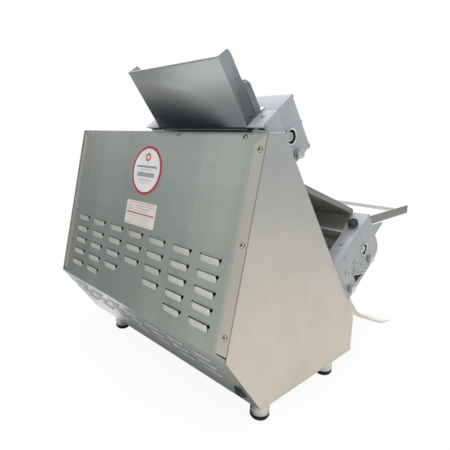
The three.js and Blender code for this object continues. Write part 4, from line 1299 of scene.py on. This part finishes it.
chain("chain_upper", (150, 150), upper_rear, UPPER_CHAIN_X)
chain("chain_lower", (150, 150), lower_rear, LOWER_CHAIN_X)

# ------------------------------------------------------------------ finned motor lying along y
MOTOR_X, MOTOR_Z, FINS = 95, 100, 28
fins = []
for i in range(FINS):
    # share of the fin pitch, radius
    for share, radius in ((-0.28, 44.2), (-0.22, 47.9), (0.22, 47.9), (0.28, 44.2)):
        t = 2 * math.pi * (i + share) / FINS
        fins.append((MOTOR_X + radius * math.cos(t), MOTOR_Z + radius * math.sin(t)))
motor_origin = (MOTOR_X, 0, MOTOR_Z)
motor = Mesh(
    ([(x, y, z) for y in (6.0, 90.0) for x, z in fins], flipped(block_faces(len(fins)))),
    lathe([(0, 103.6), (43.4, 103.6), (44, 102), (44, 94), (47, 92), (47.6, 88), (0, 88)],
          motor_origin, (0, 1, 0), 56),
    lathe([(0, -8), (30, -8), (38, -6.6), (45.4, -2.6), (47.6, 1), (47.8, 8), (0, 8)],
          motor_origin, (0, 1, 0), 56),
    prism([(30.5, 84.4), (77.5, 84.4), (77.5, 119.6), (30.5, 119.6)], 134, 159.6))
build("motor_finned", motor, "motor", replaces="motor", recalc=True)

# ------------------------------------------------------------------ CAD pieces that stay in view
# piece: material, edge bevel
FINISHES = {
    "base_pan": ("zinc", 0.25), "top_rail": ("zinc", 0.3), "front_wall": ("zinc", 0.25),
    "gearbox": ("iron", 1.2), "drive_shaft": ("drive", 0.4), "control_box": ("zinc", 0.3),
    "control_bezel": ("bezel", 0.3), "infeed_guard": ("tray", 0.3),
}
for level in ("upper", "lower"):
    FINISHES[f"{level}_front_cover"] = ("head", 0.7)
    for end in ("left", "right"):
        FINISHES[f"{level}_end_box_{end}"] = ("head", 0.7)
        FINISHES[f"{level}_bearing_plate_{end}"] = ("polymer", 0.5)
        FINISHES[f"{level}_slider_{end}"] = ("iron", 0.4)
    for place in ("front", "rear"):
        FINISHES[f"{level}_{place}_gear"] = ("drive", 0.25)
        FINISHES[f"{level}_{place}_scraper"] = ("shaft", 0.2)
for name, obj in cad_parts.items():
    if name not in FINISHES:
        continue
    material, bevel = FINISHES[name]
    obj.data.materials.clear()
    obj.data.materials.append(MATERIALS[material])
    shade_smooth(obj.data)
    obj.modifiers.new("weld", "WELD").merge_threshold = 2e-6
    planar = obj.modifiers.new("planar", "DECIMATE")
    planar.decimate_type = "DISSOLVE"
    planar.angle_limit = math.radians(1.0)
    edge_modifiers(obj, bevel, 30, 34)


# ------------------------------------------------------------------ surroundings seen in the metal
def grey(value):
    return (value,) * 3


# azimuth, {elevation: colour}, in degrees
SURROUNDINGS = [
    (-180, {-90: grey(.8), -30: grey(.9), 0: grey(.7), 30: grey(.8), 90: grey(1.0)}),
    (-125, {-60: (1.0, .95, .86), -30: (1.0, .935, .81), -21: (.935, .893, .80),
            -16: (.86, .85, .81), -8: (.62, .635, .61), -2: (.50, .54, .57),
            10: (.5, .54, .6), 40: grey(.8), 90: grey(1.0)}),
    (-70, {-60: grey(1.0), -20: grey(.9), -2: grey(.6), 6: grey(1.3), 14: grey(1.9),
           40: grey(1.6), 90: grey(1.2)}),
    (-22, {-60: grey(1.35), -25: grey(1.35), -10: grey(.8), 0: grey(.6), 8: grey(1.2),
           16: grey(1.8), 40: grey(1.5), 90: grey(1.1)}),
    (15, {-60: grey(.62), -38: grey(.5), -20: grey(.4), 0: grey(.3), 10: grey(.35),
          25: grey(.55), 90: grey(1.0)}),
    (27, {-60: grey(.9), -40: grey(.87), -22: grey(.42), -8: grey(.22), 2: grey(.26),
          10: grey(.36), 24: grey(.62), 60: grey(.9)}),
    (47, {-60: grey(.9), -40: grey(.87), -22: grey(.6), -9: grey(.44), 3: grey(.43),
          10: grey(.5), 17: grey(.62), 26: grey(.75), 60: grey(.9)}),
    (60, {-60: grey(.95), -20: (.9, .85, .75), 0: (.88, .82, .72), 10: (.7, .68, .62),
          20: grey(.6), 60: grey(.9)}),
    (105, {-60: grey(.95), -20: grey(.85), 0: grey(.7), 30: grey(.8), 90: grey(1.0)}),
    (180, {-90: grey(.8), -30: grey(.9), 0: grey(.7), 30: grey(.8), 90: grey(1.0)})]


def surroundings_group():
    """Colour of the studio in a given direction."""
    group = bpy.data.node_groups.new("studio_tone", "ShaderNodeTree")
    group.interface.new_socket("Direction", in_out="INPUT", socket_type="NodeSocketVector")
    group.interface.new_socket("Color", in_out="OUTPUT", socket_type="NodeSocketColor")
    tree = NodeTree(group)
    direction = group.nodes.new("NodeGroupInput").outputs[0]
    unit = tree.node("VectorMath", {"operation": "NORMALIZE"}, i0=direction).outputs[0]
    x, y, z = tree.split(unit)
    degrees = 57.29578
    azimuth = tree.times(tree.calc("ARCTAN2", y, x), degrees)
    elevation = tree.times(tree.calc("ARCSINE", z), degrees)
    rise = tree.remap(elevation, -90, 90)
    # colours are held halved in the ramps, and doubled at the end
    colour, last = None, None
    for angle, table in SURROUNDINGS:
        stops = [((e + 90) / 180, tuple(c * 0.5 for c in table[e])) for e in sorted(table)]
        tone = tree.ramp(rise, stops, "EASE")
        if colour:
            tone = tree.mix(tree.smooth(azimuth, last, angle), colour, tone)
        colour, last = tone, angle

    def upright_band(middle, half_width, low, high):
        """A light band at one azimuth, fading in between two elevations."""
        away = tree.calc("ABSOLUTE", tree.minus(azimuth, middle))
        return tree.times(tree.smooth(away, 0.0, half_width, 1.0, 0.0),
                          tree.smooth(elevation, low, high))

    wide_band = upright_band(35.4, 2.6, 4, 16)
    thin_band = upright_band(28.6, 1.8, 0, 12)
    # dark patch below a slanting line, within a window of azimuth and elevation
    slant = tree.plus(azimuth, elevation)
    window = tree.times(tree.smooth(azimuth, 2.0, 10.0),
                        tree.smooth(azimuth, 23.5, 28.0, 1.0, 0.0))
    window = tree.times(window, tree.smooth(elevation, -20.0, -26.0))
    gloom = tree.times(tree.smooth(slant, -14.0, -20.5), window)
    colour = tree.mix(gloom, colour, (0.035, 0.045, 0.052))
    # small slanting oval of light
    leaning = tree.minus(tree.minus(azimuth, 22.0), tree.times(tree.plus(elevation, 35.0), -0.6))
    oval = tree.length(tree.calc("DIVIDE", leaning, 3.2),
                       tree.calc("DIVIDE", tree.minus(slant, -12.6), 1.3))
    glow = tree.times(tree.smooth(oval, 0.0, 1.0, 1.0, 0.0), 0.16)
    light = tree.plus(tree.times(wide_band, 0.16), tree.times(thin_band, 0.06))
    light = tree.plus(light, glow)
    light = tree.node("CombineColor", i0=light, i1=light, i2=light).outputs[0]
    colour = tree.tinted(tree.mix(1.0, colour, light, "ADD"), (2.0, 2.0, 2.0))
    group.links.new(colour, group.nodes.new("NodeGroupOutput").inputs[0])
    return group


SURROUNDINGS_GROUP = surroundings_group()


def surroundings(tree, direction):
    return tree.node("Group", {"node_tree": SURROUNDINGS_GROUP}, i0=direction).outputs[0]


# glossy rays see the surroundings, camera rays white, all others a cool pale grey
world = bpy.data.worlds.new("studio")
SCENE.world = world
tree = fresh_tree(world)
ray = tree.node("LightPath").outputs
seen = surroundings(tree, tree.node("TexCoord").outputs["Generated"])
colour = tree.mix(ray["Is Glossy Ray"], (0.86, 0.875, 0.90), seen)
colour = tree.mix(ray["Is Camera Ray"], colour, (1.0, 1.0, 1.0))
background = tree.node("Background", Color=colour, Strength=1.0)
tree.node("OutputWorld", i0=background.outputs[0])


# ------------------------------------------------------------------ floor
def mirrored_floor_painted_shadow(tree, geometry):
    """What glossy rays see in the floor: the surroundings, with a painted shadow under the
    machine.
    """
    backwards = tree.node("VectorMath", {"operation": "SCALE"}, i0=geometry["Incoming"],
                          Scale=-1.0)
    seen = surroundings(tree, backwards.outputs[0])
    x, y, _ = tree.split(geometry["Position"])
    under = tree.times(tree.smooth(x, 0.165, 0.265, 1.0, 0.0), tree.smooth(x, -0.34, -0.25))
    from_front = tree.ramp(tree.remap(y, -0.15, 0.55), [
        (0.0, 1.0), (0.09, 0.75), (0.15, 0.3), (0.57, (0.15, 0.16, 0.15)),
        (0.594, (0.20, 0.21, 0.20)), (0.63, (0.30, 0.31, 0.30)), (0.70, 0.46), (0.80, 1.0)])
    shade = tree.mix(under, (1.0, 1.0, 1.0), from_front)
    # painted shade: duller to the right, except behind the machine
    to_right = tree.ramp(tree.remap(x, 0.2, 1.0), [
        (0.0, 1.0), (0.15, 1.0), (0.32, 0.72), (0.6, 0.66), (1.0, 0.6)])
    not_behind = tree.smooth(y, 0.40, 0.30)
    shade = tree.tinted(shade, tree.mix(not_behind, (1.0, 1.0, 1.0), to_right))
    return tree.node("Emission", Color=tree.tinted(seen, shade), Strength=1.0).outputs[0]


def floor_material():
    """Diffuse for lighting; the camera sees it fade to white away from the machine."""
    material = bpy.data.materials.new("pale_floor")
    tree = fresh_tree(material)
    ray = tree.node("LightPath").outputs
    geometry = tree.node("NewGeometry").outputs
    grain = tree.noise(3, detail=4.0, roughness=0.5)
    tone = tree.ramp(grain, [(0.3, (0.80, 0.80, 0.795)), (0.7, (0.84, 0.84, 0.835))])
    diffuse = tree.node("BsdfDiffuse", Color=tone).outputs[0]
    white = tree.node("Emission", Color=(1, 1, 1), Strength=1.0).outputs[0]
    away = tree.node("VectorMath", {"operation": "DISTANCE"}, i0=geometry["Position"],
                     i1=(0.0, 0.1, 0.0)).outputs["Value"]

    def blend(factor, a, b):
        return tree.node("MixShader", i0=factor, i1=a, i2=b).outputs[0]

    for_camera = blend(tree.smooth(away, 0.30, 0.62, 0.93, 1.0), diffuse, white)
    for_others = blend(ray["Is Glossy Ray"], diffuse, mirrored_floor_painted_shadow(tree, geometry))
    tree.node("OutputMaterial", i0=blend(ray["Is Camera Ray"], for_others, for_camera))
    return material


FLOOR_RADIUS, FLOOR_SIDES = 30.0, 48
floor_data = bpy.data.meshes.new("floor")
floor_data.from_pydata([(x, y, -0.0002) for x, y in circle((0, 0), FLOOR_RADIUS, FLOOR_SIDES)],
                       [], [list(range(FLOOR_SIDES))])
floor_data.materials.append(floor_material())
link("floor", floor_data)


# ------------------------------------------------------------------ light and camera
def aim(obj, location, direction):
    obj.location = location
    obj.rotation_mode = "QUATERNION"
    obj.rotation_quaternion = direction.to_track_quat("-Z", "Y")


light = bpy.data.lights.new("softbox", "AREA")
light.shape = "RECTANGLE"
light.size, light.size_y = 3.0, 2.4
light.energy = 34
light.color = (1.0, 0.985, 0.96)
softbox = link("softbox", light)
softbox_place, softbox_target = Vector((-1.9, 1.0, 2.6)), Vector((0, 0, 0.3))
aim(softbox, softbox_place, softbox_target - softbox_place)
softbox.visible_glossy = False

lens = bpy.data.cameras.new("camera")
lens.sensor_width, lens.lens = 36, 32.94
lens.shift_x, lens.shift_y = 0.0575, 0.0012
lens.clip_start, lens.clip_end = 0.02, 200
camera = link("camera", lens)
aim(camera, (-0.7029, 0.7712, 0.5235), Vector((0.7262, -0.6479, -0.2300)))
SCENE.camera = camera
SCENE.view_settings.view_transform = "Standard"
SCENE.view_settings.look = "None"
